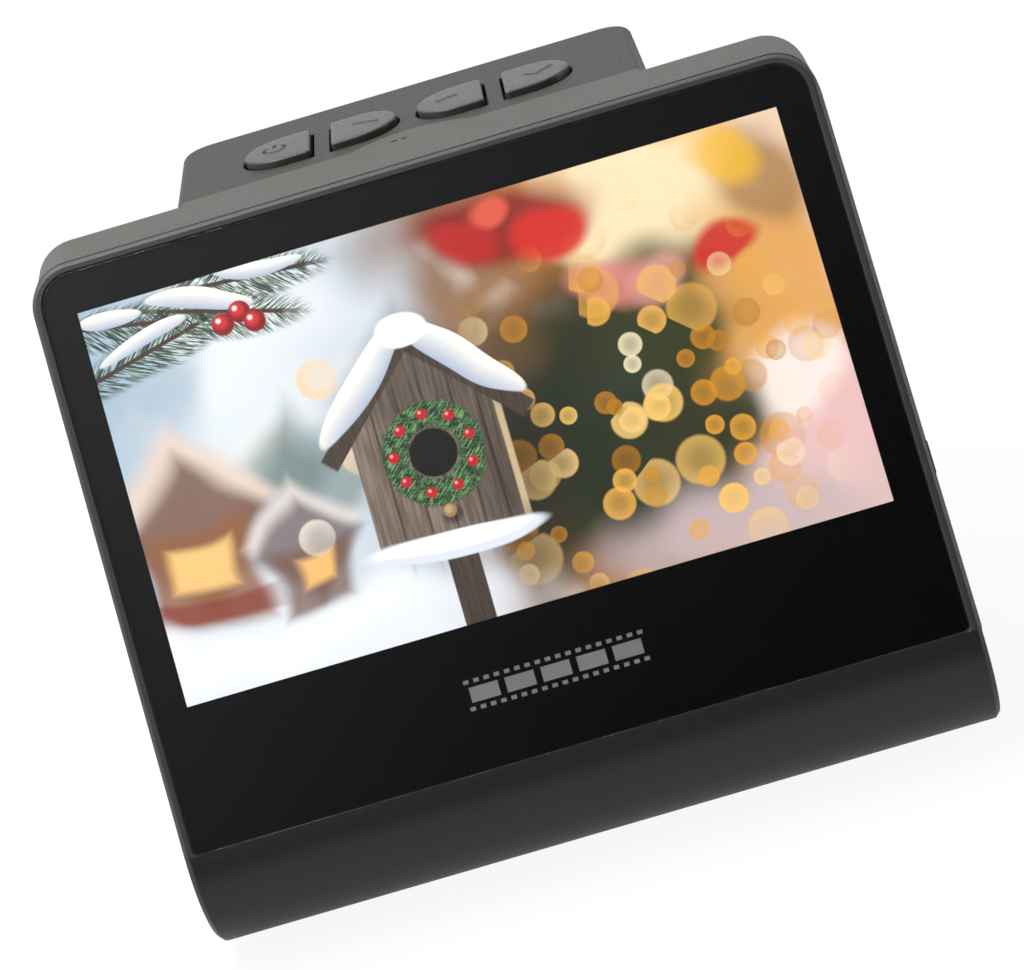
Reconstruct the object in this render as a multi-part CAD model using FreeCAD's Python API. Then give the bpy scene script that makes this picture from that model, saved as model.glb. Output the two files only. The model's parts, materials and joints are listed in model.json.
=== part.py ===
import FreeCAD, Part
import math
import os

from FreeCAD import Placement, Rotation, Vector

# A desk-top scanner for film negatives. +X is the user's right, the screen faces -Y, +Z is up.
# The origin is the middle of the footprint on the table. Millimetres and degrees.

# Driving sizes of the screen side
lean = 29.5                     # how far the screen leans back from upright
view_width = 110.7              # lit area, 5 inch across, 16:9
view_height = 62.3
view_shift = -0.3               # lit area sits a little left of the glass centre
view_side = 5.15                # glass beside the lit area
view_top = 6.3                  # glass above it
view_rise = 21.8                # glass below it
glass_thickness = 1.0
glass_corner = 5.0              # top corners of the glass
glass_foot_corner = 1.0         # bottom corners of the glass
glass_gap = 0.15                # dark line round the glass
glass_sink = 0.15               # glass face below the bezel face
mask_thickness = 0.15
panel_border = 3.0              # dark glass rim of the display panel round its lit area
panel_thickness = 1.4
tray_thickness = 2.6            # backlight tray behind the panel
tray_border = 0.5               # tray lip outside the panel
bezel_band = 1.5
bezel_depth = 1.7               # bezel face to parting line
bezel_chamfer = 0.6
ledge_depth = 4.2               # frame behind the bezel that the glass rests on
ledge_play = 0.3                # display tray to ledge
skirt_inset = 0.15              # ledge frame to housing wall

# Foot
roll_radius = 13.6              # rolled front edge under the glass
roll_end_chamfer = 0.8
heel_length = 6.0               # flat under the roll, behind its lowest line
rubber_height = 1.5
rubber_sink = 0.8
rubber_radius = 5.0

# Housing
wall = 2.0
part_gap = 0.5                  # parting line
housing_step = 0.25             # housing stands proud of the bezel at each side
strip_depth = 12.7              # level strip on top, parting line to head
housing_back_round = 2.0
head_width = 76.6
head_wall = 2.2
head_depth = 32.8
head_slope = 3.2                # head top falls towards the back
head_corner = 5.0
head_edge_round = 1.5
tab_width = 19.5                # arc tab on the head
tab_reach = 3.3
mark_length = 0.9
mark_width = 0.5
mark_depth = 0.5
mark_offset = 1.8               # middle of the two marks, left of the centre line
mark_pitch = 1.6

# Buttons
button_width = 11.0
button_half = 6.8               # half the button's depth, and its round end's radius
button_pitch = 14.3
button_row = 11.6               # row behind the front of the head
button_gap = 0.35
button_proud = 1.2
button_chamfer = 0.4
flange_lip = 0.9
flange_thickness = 1.0
flange_play = 0.2
button_travel = 0.6
stem_side = 3.6
stem_length = 2.0
plunger_side = 2.4
plunger_length = 1.7
plunger_clearance = 0.15
switch_gap = 0.8                # stem to switch body
switch_side = 6.0
switch_height = 3.0
board_thickness = 1.2
button_board_margin = 0.6
button_post_side = 4.2

# Film gate, seen from behind when the door is open
film_width = 56.0               # height of the film holder's channel
film_thickness = 6.0            # depth of the channel
catch_gap = 3.2                 # upper rail to the catch towers
frame_width = 37.5              # picture window
frame_height = 25.5
gate_thickness = 2.0
rail_thickness = 1.5
rail_play = 0.3
gate_play = 0.2
gate_top_margin = 13.6          # gate frame's top below the housing top

# Door
door_split = 10.3               # parting line of the door before the back face
door_skin = 2.0
door_gap = 0.3
door_rim = 1.6
hinge_back = 5.0                # hinge axis before the back face
hinge_height = 8.0              # hinge axis above the base
pin_radius = 1.25
pin_clearance = 0.06
ear_radius = 2.6
ear_width = 3.0
ear_gap = 0.3
ear_root = 6.0
liner_play = 0.6
liner_wall = 1.6
liner_lift = 4.5                # liner's lower edge above the hinge axis
liner_depth = 6.4
diffuser_margin = 3.0
diffuser_thickness = 2.0
lamp_board_margin = 5.0
lamp_columns = 4
lamp_rows = 3
lamp_width = 3.5
lamp_height = 2.8
lamp_thickness = 0.8
magnet_width = 10.0
magnet_height = 5.0
magnet_depth = 3.0
magnet_spread = 23.0
magnet_drop = 5.2               # below the top of the gate frame
magnet_wall = 1.4
strike_thickness = 1.2
contact_width = 14.0
contact_height = 5.0
contact_blade_width = 1.2
contact_blade_height = 3.2
contact_pitch = 4.0
contact_blade_out = 0.9
pad_thickness = 0.3
pad_side = 2.6

# Camera and electronics
board_foot = 9.0                # main board's lower edge above the base
board_top = 64.0
board_margin = 3.2              # main board's ends to the side walls
main_board_thickness = 1.6
board_clearance = 1.0           # display tray to main board
sensor_width = 12.0
sensor_height = 10.0
sensor_thickness = 1.4
holder_side = 18.0
holder_depth = 6.0
holder_neck = 5.0
holder_neck_radius = 7.0
barrel_radius = 5.5
barrel_length = 11.0
barrel_start = 3.4
barrel_bore = 3.2
lens_radius = 4.2
lens_thickness = 1.6
lens_bulge = 0.7
rear_lens_radius = 2.9
rear_lens_thickness = 1.2
tunnel_wall = 1.2
tunnel_mouth_width = 17.0
tunnel_mouth_height = 15.0
tunnel_window_width = 41.0
tunnel_window_height = 29.0
tunnel_flange = 2.0
tunnel_lap = 1.5                # the tunnel starts this far before the barrel's end
socket_height = 45.0            # side socket above the base
socket_board_length = 16.0
socket_board_width = 13.0
socket_offset = 2.2             # socket board's near edge behind the main board
usb_width = 8.94
usb_height = 3.26
usb_depth = 7.4
usb_shell = 0.3
usb_tongue_width = 6.7
usb_tongue_height = 0.7
usb_tongue_depth = 5.0
usb_recess_width = 12.4
usb_recess_height = 5.4
card_width = 24.6
card_height = 2.9
card_depth = 24.0
card_shell = 0.35
card_height_share = 0.62        # middle of the card slot, as a share of the main board's height
chip_height = 1.6
post_side = 6.0
screw_radius = 1.0
screw_head_radius = 2.0
screw_head_height = 1.2
screw_length = 6.0
cable_thickness = 0.3
cable_width = 20.0
base_play = 0.2
base_tongue = 2.0
overrun = 5.0                   # how far a cut runs past what it cuts

sin_lean = math.sin(math.radians(lean))
cos_lean = math.cos(math.radians(lean))
tan_slope = math.tan(math.radians(head_slope))
cos_slope = math.cos(math.radians(head_slope))

# Places worked out from the sizes
glass_width = view_width + 2 * view_side
glass_height = view_rise + view_height + view_top
body_width = glass_width + 2 * (glass_gap + bezel_band)
housing_width = body_width + 2 * housing_step
bezel_corner = glass_corner + glass_gap + bezel_band
pocket_height = glass_height + 2 * glass_gap
panel_length = pocket_height + bezel_band
pocket_depth = glass_sink + glass_thickness + mask_thickness
overall_depth = (roll_radius * (1 - cos_lean) + panel_length * sin_lean + bezel_depth * cos_lean
                 + strip_depth + head_depth)
front_y = -overall_depth / 2
back_y = overall_depth / 2
base_z = rubber_height
roll_y = front_y + roll_radius
roll_z = base_z + roll_radius
panel_y = roll_y - roll_radius * cos_lean
panel_z = roll_z + roll_radius * sin_lean
crest_z = panel_z + panel_length * cos_lean
housing_top = crest_z - bezel_depth * sin_lean
strip_front_y = panel_y + panel_length * sin_lean + bezel_depth * cos_lean
strip_back_y = strip_front_y + strip_depth
heel_y = roll_y + heel_length
chin_y = panel_y + bezel_depth * cos_lean
chin_z = panel_z - bezel_depth * sin_lean
head_half = head_width / 2
head_inner = head_half - head_wall
housing_inner = housing_width / 2 - wall
housing_top_corner = bezel_corner + housing_step
gate_top = housing_top - gate_top_margin
magnet_z = gate_top - magnet_drop
gate_z = (magnet_z - magnet_height / 2 - magnet_wall - catch_gap - rail_thickness
          - film_width / 2)
split_y = back_y - door_split
hinge_y = back_y - hinge_back
hinge_z = base_z + hinge_height
tray_depth = pocket_depth + panel_thickness + tray_thickness
board_y = (panel_y + (base_z + board_top - panel_z + tray_depth * sin_lean) * sin_lean / cos_lean
           + tray_depth * cos_lean + board_clearance)
board_back_y = board_y + main_board_thickness
board_half = housing_inner - board_margin
ear_inner = head_inner - ear_gap - ear_width
liner_half = ear_inner - liner_play
liner_front_y = split_y - door_gap - film_thickness / 2 - rail_play
gate_y = liner_front_y - film_thickness
rail_reach = film_thickness - rail_play
panel_frame = Placement(Vector(0, panel_y, panel_z), Rotation(Vector(1, 0, 0), 90 - lean))
head_frame = Placement(Vector(0, strip_back_y, housing_top), Rotation(Vector(1, 0, 0), -head_slope))

nodes = {}


def roof_z(y, drop):
    """Height of the head's top at y, lowered by drop."""
    return housing_top - (y - strip_back_y) * tan_slope - drop


def block(x0, x1, y0, y1, z0, z1):
    """Box between two corners."""
    return Part.makeBox(x1 - x0, y1 - y0, z1 - z0, Vector(x0, y0, z0))


def rod(radius, start, direction, length):
    """Cylinder from start along direction."""
    return Part.makeCylinder(radius, length, start, direction)


def prism_x(points, x0, x1):
    """Side outline given as (y, z) points, carried from x0 to x1."""
    corners = [Vector(x0, y, z) for y, z in points]
    face = Part.Face(Part.makePolygon(corners + corners[:1]))
    return face.extrude(Vector(x1 - x0, 0, 0))


def upright_edges(shape, direction):
    """Straight edges of a shape that run along direction."""
    picked = []
    for edge in shape.Edges:
        if edge.Curve.TypeId == "Part::GeomLine":
            run = edge.Vertexes[-1].Point - edge.Vertexes[0].Point
            if run.cross(direction).Length < run.Length / 1000:
                picked.append(edge)
    return picked


def rounded_plate(x0, x1, y0, y1, z0, z1, far_radius, near_radius):
    """Plate in its own plane, with one corner radius at its y1 end and another at its y0 end."""
    plate = block(x0, x1, y0, y1, z0, z1)
    middle = (y0 + y1) / 2
    far = [e for e in upright_edges(plate, Vector(0, 0, 1)) if e.CenterOfMass.y > middle]
    if far_radius > 0:
        plate = plate.makeFillet(far_radius, far)
    near = [e for e in upright_edges(plate, Vector(0, 0, 1)) if e.CenterOfMass.y < middle
            and abs(e.CenterOfMass.y - y0) < (y1 - y0) / 1000]
    if near_radius > 0:
        plate = plate.makeFillet(near_radius, near)
    return plate


def on_panel(shape):
    """Moves a shape drawn flat (x across, y up the panel, z out of it) onto the leaning panel."""
    return shape.transformed(panel_frame.toMatrix())


def on_head(shape):
    """Moves a shape drawn flat (x across, y to the back, z out of it) onto the head's sloping top."""
    return shape.transformed(head_frame.toMatrix())


def mirrored(shape):
    """The same shape at the other side of the centre plane."""
    return shape.mirror(Vector(0, 0, 0), Vector(1, 0, 0))


def both_sides(shape):
    """A shape and its mirror image as separate solids."""
    return [shape, mirrored(shape)]


def group(shapes):
    """Separate solids kept together in one node."""
    solids = [solid for shape in shapes for solid in shape.Solids]
    return solids[0] if len(solids) == 1 else Part.makeCompound(solids)


def joined(shapes):
    """One solid from touching shapes."""
    return with_pieces(shapes[0], shapes[1:]).removeSplitter()


def with_pieces(shape, pieces):
    """The shape with each piece fused on in turn."""
    for piece in pieces:
        shape = shape.fuse(piece)
    return shape


def without(shape, pieces):
    """The shape with each piece cut away in turn."""
    for piece in pieces:
        shape = shape.cut(piece)
    return shape


def screw(seat, direction, length):
    """Pan-head screw: the head stands on its seat, the shank runs along direction."""
    head = rod(screw_head_radius, seat - direction * screw_head_height, direction, screw_head_height)
    return head.fuse(rod(screw_radius, seat, direction, length))


def post(x, z, y0, y1):
    """Square moulded post that runs back from y0 to y1."""
    half = post_side / 2
    return block(x - half, x + half, y0, y1, z - half, z + half)


# Screen side, drawn flat on the panel plane and then leaned back


def glass_outline(z0, z1, grow):
    return rounded_plate(-glass_width / 2 - grow, glass_width / 2 + grow, glass_gap - grow,
                         glass_gap + glass_height + grow, z0, z1, glass_corner + grow,
                         glass_foot_corner)


def view_box(grow, z0, z1):
    """Box over the lit area, grown by a margin."""
    low = glass_gap + view_rise
    return block(view_shift - view_width / 2 - grow, view_shift + view_width / 2 + grow,
                 low - grow, low + view_height + grow, z0, z1)


def foot_roll():
    """Rolled foot: an arc that leaves the panel tangent and ends flat on the base, hollow behind."""
    def outline(radius, x0, x1, back_y_here, top_z):
        start = Vector(x0, roll_y - radius * cos_lean, roll_z + radius * sin_lean)
        turn = math.radians((90 + lean) / 2)
        middle = Vector(x0, roll_y - radius * math.cos(math.radians(lean) - turn),
                        roll_z + radius * math.sin(math.radians(lean) - turn))
        low = Vector(x0, roll_y, roll_z - radius)
        heel = Vector(x0, back_y_here, low.z)
        chin = Vector(x0, back_y_here if top_z is not None else chin_y,
                      top_z if top_z is not None else chin_z)
        edges = [Part.Arc(start, middle, low).toShape(), Part.makeLine(low, heel),
                 Part.makeLine(heel, chin), Part.makeLine(chin, start)]
        return Part.Face(Part.Wire(edges)).extrude(Vector(x1 - x0, 0, 0))
    outer = outline(roll_radius, -body_width / 2, body_width / 2, heel_y, None)
    ends = [e for e in outer.Edges if e.Curve.TypeId == "Part::GeomCircle"]
    outer = outer.makeChamfer(roll_end_chamfer, ends)
    inner_radius = roll_radius - wall
    inner = outline(inner_radius, -body_width / 2 + wall, body_width / 2 - wall,
                    heel_y + overrun, roll_z + inner_radius * sin_lean)
    return outer.cut(inner)


def make_front_shell():
    rim = rounded_plate(-body_width / 2, body_width / 2, 0, panel_length, -bezel_depth, 0,
                        bezel_corner, 0)
    front_edges = [e for e in rim.Edges if abs(e.CenterOfMass.z) < bezel_depth / 1000
                   and e.CenterOfMass.y > bezel_depth]
    rim = rim.makeChamfer(bezel_chamfer, front_edges)
    skirt_half = housing_inner - skirt_inset
    skirt_top = panel_length - (wall + skirt_inset) / cos_lean
    skirt_low = wall
    skirt = rounded_plate(-skirt_half, skirt_half, skirt_low, skirt_top,
                          -bezel_depth - ledge_depth, -bezel_depth, bezel_corner - wall, 0)
    shell = rim.fuse(skirt)
    opening = panel_border + tray_border + ledge_play
    shell = shell.cut(view_box(opening, -bezel_depth - ledge_depth - overrun, overrun))
    apron_top = glass_gap + view_rise - opening - wall
    apron = block(-skirt_half + wall, skirt_half - wall, skirt_low + wall, apron_top,
                  -bezel_depth - ledge_depth - overrun, -pocket_depth - wall)
    shell = shell.cut(apron)
    pocket = glass_outline(-pocket_depth, overrun, glass_gap)
    return on_panel(shell.cut(pocket)).fuse(foot_roll()).removeSplitter()


def make_screen():
    glass_back = -glass_sink - glass_thickness
    nodes["cover_glass"] = on_panel(glass_outline(glass_back, -glass_sink, 0))
    mask = glass_outline(-pocket_depth, glass_back, 0).cut(view_box(0, -overrun, overrun))
    nodes["mask_print"] = on_panel(mask)
    panel_back = -pocket_depth - panel_thickness
    nodes["display_panel"] = on_panel(view_box(panel_border, panel_back, -pocket_depth))
    tray = view_box(panel_border + tray_border, panel_back - tray_thickness, -pocket_depth)
    tray = tray.cut(view_box(panel_border, panel_back, overrun))
    nodes["backlight_tray"] = on_panel(tray)


def panel_point(v, w):
    """(y, z) of a point v up the panel and w behind its face."""
    return (panel_y + v * sin_lean + w * cos_lean, panel_z + v * cos_lean - w * sin_lean)


def make_display_cable():
    """Flat cable from the display's lower edge down and back to the main board."""
    low = glass_gap + view_rise
    bend_depth = bezel_depth + ledge_depth + wall / 2
    end_z = base_z + board_foot + wall
    outline = [panel_point(low, tray_depth), panel_point(low, bend_depth), (board_y, end_z),
               (board_y, end_z + 2 * cable_thickness),
               panel_point(low + cable_thickness, bend_depth + cable_thickness),
               panel_point(low + cable_thickness, tray_depth)]
    nodes["display_cable"] = prism_x(outline, -cable_width / 2, cable_width / 2)


# Rear housing: a wedge behind the screen with a narrower head at its back


def wedge_outer():
    front_shift = part_gap
    points = [(strip_front_y + front_shift, housing_top), (strip_back_y, housing_top),
              (strip_back_y, base_z), (heel_y + front_shift, base_z), (chin_y + front_shift, chin_z)]
    wedge = prism_x(points, -housing_width / 2, housing_width / 2)
    top_sides = [e for e in upright_edges(wedge, Vector(0, 1, 0)) if e.CenterOfMass.z > gate_z]
    wedge = wedge.makeFillet(housing_top_corner, top_sides)
    back_loop = [e for e in wedge.Edges if abs(e.CenterOfMass.y - strip_back_y) < wall / 4
                 and e.CenterOfMass.z > base_z + wall / 4]
    return wedge.makeFillet(housing_back_round, back_loop)


def wedge_inner():
    top = housing_top - wall
    points = [(front_y - overrun, base_z - overrun), (strip_back_y - wall, base_z - overrun),
              (strip_back_y - wall, top), (front_y - overrun, top)]
    void = prism_x(points, -housing_inner, housing_inner)
    top_sides = [e for e in upright_edges(void, Vector(0, 1, 0)) if e.CenterOfMass.z > gate_z]
    return void.makeFillet(housing_top_corner - wall, top_sides)


def head_solid():
    """Outer form of the head, down to the base, with rounded back corners and top edge."""
    start_y = strip_back_y - wall
    points = [(start_y, base_z), (back_y, base_z), (back_y, roof_z(back_y, 0)),
              (start_y, roof_z(start_y, 0))]
    head = prism_x(points, -head_half, head_half)
    corners = [e for e in upright_edges(head, Vector(0, 0, 1)) if e.CenterOfMass.y > split_y]
    head = head.makeFillet(head_corner, corners)
    top_loop = [e for e in head.Edges if e.CenterOfMass.z > roof_z(e.CenterOfMass.y, wall / 4)
                and e.CenterOfMass.y > start_y + wall / 4]
    head = head.makeFillet(head_edge_round, top_loop)
    level = block(-head_width, head_width, start_y - overrun, back_y + overrun, housing_top,
                  housing_top + overrun)
    return head.cut(level)


def head_void():
    """Space inside the head, open below and at the back, with the roof left on."""
    start_y = strip_back_y - wall - overrun
    end_y = back_y + overrun
    points = [(start_y, base_z - overrun), (split_y, base_z - overrun), (split_y, roof_z(split_y, wall)),
              (strip_back_y, roof_z(strip_back_y, wall)), (start_y, roof_z(strip_back_y, wall))]
    inside = prism_x(points, -head_inner, head_inner)
    behind = prism_x([(split_y, base_z - overrun), (end_y, base_z - overrun),
                      (end_y, roof_z(end_y, wall)), (split_y, roof_z(split_y, wall))],
                     -head_width, head_width)
    return inside.fuse(behind)


def d_shape(middle_x, side, grow, z0, z1):
    """D outline round a button's middle: flat towards the pair's middle, round at the other end."""
    radius = button_half + grow
    flat_x = middle_x - side * (button_width / 2 + grow)
    turn_x = middle_x + side * (button_width / 2 - button_half)
    near = Vector(flat_x, button_row - radius, z0)
    near_turn = Vector(turn_x, button_row - radius, z0)
    tip = Vector(turn_x + side * radius, button_row, z0)
    far_turn = Vector(turn_x, button_row + radius, z0)
    far = Vector(flat_x, button_row + radius, z0)
    edges = [Part.makeLine(near, near_turn), Part.Arc(near_turn, tip, far_turn).toShape(),
             Part.makeLine(far_turn, far), Part.makeLine(far, near)]
    return Part.Face(Part.Wire(edges)).extrude(Vector(0, 0, z1 - z0))


button_names = ["power", "left", "right", "confirm"]


def button_places():
    """Name, place along the row and side of the round end, for each button from left to right."""
    middle = (len(button_names) - 1) / 2
    return [(name, (count - middle) * button_pitch, 1 if count % 2 else -1)
            for count, name in enumerate(button_names)]


def arc_tab():
    """Shallow arc that carries the level strip a little way out over the sloping head."""
    tab_radius = (tab_width ** 2 / 4 + tab_reach ** 2) / (2 * tab_reach)
    low = housing_top - head_edge_round
    disc = rod(tab_radius, Vector(0, strip_back_y + tab_reach - tab_radius, low), Vector(0, 0, 1),
               housing_top - low)
    keep = block(-tab_width, tab_width, strip_back_y - wall / 2, strip_back_y + tab_reach + overrun,
                 low, housing_top)
    return disc.common(keep)


def board_posts():
    """Four posts under the head's roof that carry the button board."""
    half = button_post_side / 2
    posts = []
    for y in (button_board_near() + half, button_board_far() - half):
        for side in (-1, 1):
            x = side * (head_inner - button_board_margin - half)
            posts.append(on_head(block(x - half, x + half, y - half, y + half, -button_board_top(),
                                       -wall / 2)))
    return posts


def button_board_top():
    return (wall + flange_play + flange_thickness + stem_length + switch_gap + switch_height)


def button_board_near():
    return button_board_margin


def button_board_far():
    return head_depth - door_split - button_board_margin


def gate_post_places():
    x = head_inner - post_side + wall / 2
    return [(x, base_z + hinge_height + wall / 2), (x, gate_top - 2 * wall)]


def gate_bosses():
    """Posts on the head's side walls that the gate frame is seated on."""
    bosses = []
    for x, z in gate_post_places():
        half = post_side / 2
        boss = block(x - half, head_inner + wall / 2, gate_y - gate_thickness - post_side,
                     gate_y - gate_thickness, z - half, z + half)
        bosses += both_sides(boss)
    return bosses


def board_bosses():
    """Posts from the wedge's back wall to the main board."""
    bosses = []
    x = head_half + post_side
    for z in (base_z + board_foot + post_side / 2, base_z + board_top - post_side / 2):
        bosses += both_sides(post(x, z, board_back_y, strip_back_y - wall / 2))
    return bosses


def base_screw_places():
    side_x = housing_inner - post_side / 2
    return [(side_x, strip_back_y - wall - post_side),
            (head_inner - post_side / 2, gate_y - gate_thickness - 3 * post_side / 2)]


def base_bosses():
    half = post_side / 2
    bosses = []
    for x, y in base_screw_places():
        boss = block(x - half, x + half + wall / 2, y - half, y + half, base_z + wall,
                     base_z + wall + screw_length)
        hole = rod(screw_radius, Vector(x, y, base_z), Vector(0, 0, 1), wall + screw_length)
        bosses += both_sides(boss.cut(hole))
    return bosses


def hinge_ears():
    """Ears on the inside of the head's walls that reach back into the door and hold the pins."""
    outer_x = head_inner - ear_gap
    bar = block(ear_inner, outer_x, split_y - ear_root, hinge_y, hinge_z - ear_radius,
                hinge_z + ear_radius)
    nose = rod(ear_radius, Vector(ear_inner, hinge_y, hinge_z), Vector(1, 0, 0), ear_width)
    root = block(outer_x, head_inner + wall / 4, split_y - ear_root, split_y,
                 hinge_z - ear_radius, hinge_z + ear_radius)
    bore = rod(pin_radius, Vector(ear_inner - overrun, hinge_y, hinge_z), Vector(1, 0, 0),
               ear_width + 2 * overrun)
    ear = bar.fuse([nose, root]).cut(bore)
    return both_sides(ear)


def usb_middle():
    return board_back_y + socket_offset + socket_board_width / 2


def card_middle():
    return base_z + board_foot + (board_top - board_foot) * card_height_share


def make_rear_housing():
    shell = wedge_outer().fuse(head_solid())
    shell = shell.fuse(arc_tab()).removeSplitter()
    shell = shell.cut(wedge_inner())
    shell = shell.cut(head_void())
    marks = []
    for shift in (-mark_pitch / 2, mark_pitch / 2):
        x = shift - mark_offset
        marks.append(block(x - mark_length / 2, x + mark_length / 2, strip_back_y - mark_width,
                           strip_back_y, housing_top - mark_depth, housing_top + overrun))
    wells = [on_head(d_shape(x, side, button_gap, -wall - overrun, overrun))
             for name, x, side in button_places()]
    channel = block(-head_width, head_width, gate_y, gate_y + film_thickness,
                    gate_z - film_width / 2, gate_z + film_width / 2)
    usb_recess = block(housing_inner - overrun, housing_width, usb_middle() - usb_recess_width / 2,
                       usb_middle() + usb_recess_width / 2,
                       base_z + socket_height - usb_recess_height / 2,
                       base_z + socket_height + usb_recess_height / 2)
    usb_recess = usb_recess.makeFillet(usb_recess_height / 3, upright_edges(usb_recess, Vector(1, 0, 0)))
    card_slot = block(-housing_width, -housing_inner + overrun, board_back_y + card_shell,
                      board_back_y + card_height - card_shell, card_middle() - card_width / 2 + card_shell,
                      card_middle() + card_width / 2 - card_shell)
    shell = without(shell, marks + wells + [channel, usb_recess, card_slot])
    return with_pieces(shell, board_posts() + gate_bosses() + board_bosses() + base_bosses()
                       + hinge_ears())


def make_base_plate():
    """Bottom cover under the wedge and the head, with a tongue that laps over the foot."""
    low = base_z
    high = base_z + wall
    side = housing_inner - base_play
    wedge_part = block(-side, side, heel_y + part_gap + base_play, strip_back_y - wall - base_play,
                       low, high)
    head_side = head_inner - base_play
    head_part = block(-head_side, head_side, strip_back_y - wall - base_play - overrun,
                      split_y, low, high)
    tongue_side = body_width / 2 - 2 * wall
    tongue = block(-tongue_side, tongue_side, heel_y - heel_length, heel_y + heel_length,
                   high, high + base_tongue)
    plate = joined([wedge_part, head_part, tongue])
    holes = []
    for x, y in base_screw_places():
        for sign in (-1, 1):
            holes.append(rod(screw_radius, Vector(sign * x, y, low - overrun), Vector(0, 0, 1),
                             wall + 2 * overrun))
    for x, y in rubber_places():
        holes.append(rod(rubber_radius, Vector(x, y, low - overrun), Vector(0, 0, 1),
                         overrun + rubber_sink))
    return plate.cut(holes)


def rubber_places():
    front = heel_y + part_gap + base_play + rubber_radius + wall
    rear = split_y - rubber_radius - wall
    front_x = housing_inner - rubber_radius - 2 * wall
    rear_x = head_inner - 2 * rubber_radius
    return [(-front_x, front), (front_x, front), (-rear_x, rear), (rear_x, rear)]


def make_feet():
    feet = []
    for x, y in rubber_places():
        feet.append(rod(rubber_radius, Vector(x, y, 0), Vector(0, 0, 1), rubber_height + rubber_sink))
    nodes["rubber_feet"] = group(feet)


def make_base_screws():
    up = Vector(0, 0, 1)
    screws = []
    for x, y in base_screw_places():
        for sign in (-1, 1):
            screws.append(screw(Vector(sign * x, y, base_z), up, wall + screw_length))
    nodes["base_screws"] = group(screws)


# Electronics and camera

# Chips on the main board: middle across and up, width and height, as shares of the free board
chip_shares = [(-0.55, 0.3, 0.24, 0.24), (0.5, 0.25, 0.2, 0.14), (-0.62, -0.24, 0.14, 0.12),
               (0.45, -0.25, 0.1, 0.2)]


def make_main_board():
    nodes["main_board"] = block(-board_half, board_half, board_y, board_back_y, base_z + board_foot,
                                base_z + board_top)
    row = head_half - chip_height
    height = board_top - board_foot
    middle_z = base_z + (board_top + board_foot) / 2
    chips = []
    for x_share, z_share, width_share, height_share in chip_shares:
        half_x = width_share * row / 2
        half_z = height_share * height / 2
        chip_z = middle_z + z_share * height
        chips.append(block(x_share * row - half_x, x_share * row + half_x, board_back_y,
                           board_back_y + chip_height, chip_z - half_z, chip_z + half_z))
    nodes["board_chips"] = group(chips)


def make_usb_socket():
    """Receptacle on its own small board, square to the main board."""
    z = base_z + socket_height
    top = z - usb_height / 2
    near_y = board_back_y
    board = block(housing_inner - base_play - socket_board_length, housing_inner - base_play, near_y,
                  near_y + socket_offset + socket_board_width, top - board_thickness, top)
    nodes["socket_board"] = board
    mouth_x = housing_width / 2 - usb_shell
    shell = block(mouth_x - usb_depth, mouth_x, usb_middle() - usb_width / 2,
                  usb_middle() + usb_width / 2, z - usb_height / 2, z + usb_height / 2)
    shell = shell.makeFillet(usb_height / 2 - usb_shell, upright_edges(shell, Vector(1, 0, 0)))
    bore = block(mouth_x - usb_depth + usb_shell, mouth_x + overrun,
                 usb_middle() - usb_width / 2 + usb_shell, usb_middle() + usb_width / 2 - usb_shell,
                 z - usb_height / 2 + usb_shell, z + usb_height / 2 - usb_shell)
    bore = bore.makeFillet(usb_height / 2 - 2 * usb_shell, upright_edges(bore, Vector(1, 0, 0)))
    nodes["usb_socket"] = shell.cut(bore)
    root_x = mouth_x - usb_depth + usb_shell
    nodes["usb_tongue"] = block(root_x, root_x + usb_tongue_depth, usb_middle() - usb_tongue_width / 2,
                                usb_middle() + usb_tongue_width / 2, z - usb_tongue_height / 2,
                                z + usb_tongue_height / 2)


def make_card_socket():
    """Memory-card socket on the back of the main board, open at the left-hand wall."""
    z = card_middle()
    mouth_x = -housing_inner - card_shell
    shell = block(-housing_inner + base_play, -housing_inner + base_play + card_depth,
                  board_back_y, board_back_y + card_height, z - card_width / 2, z + card_width / 2)
    bore = block(mouth_x - overrun, -housing_inner + base_play + card_depth - card_shell,
                 board_back_y + card_shell, board_back_y + card_height - card_shell,
                 z - card_width / 2 + card_shell, z + card_width / 2 - card_shell)
    nodes["card_socket"] = shell.cut(bore)


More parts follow.
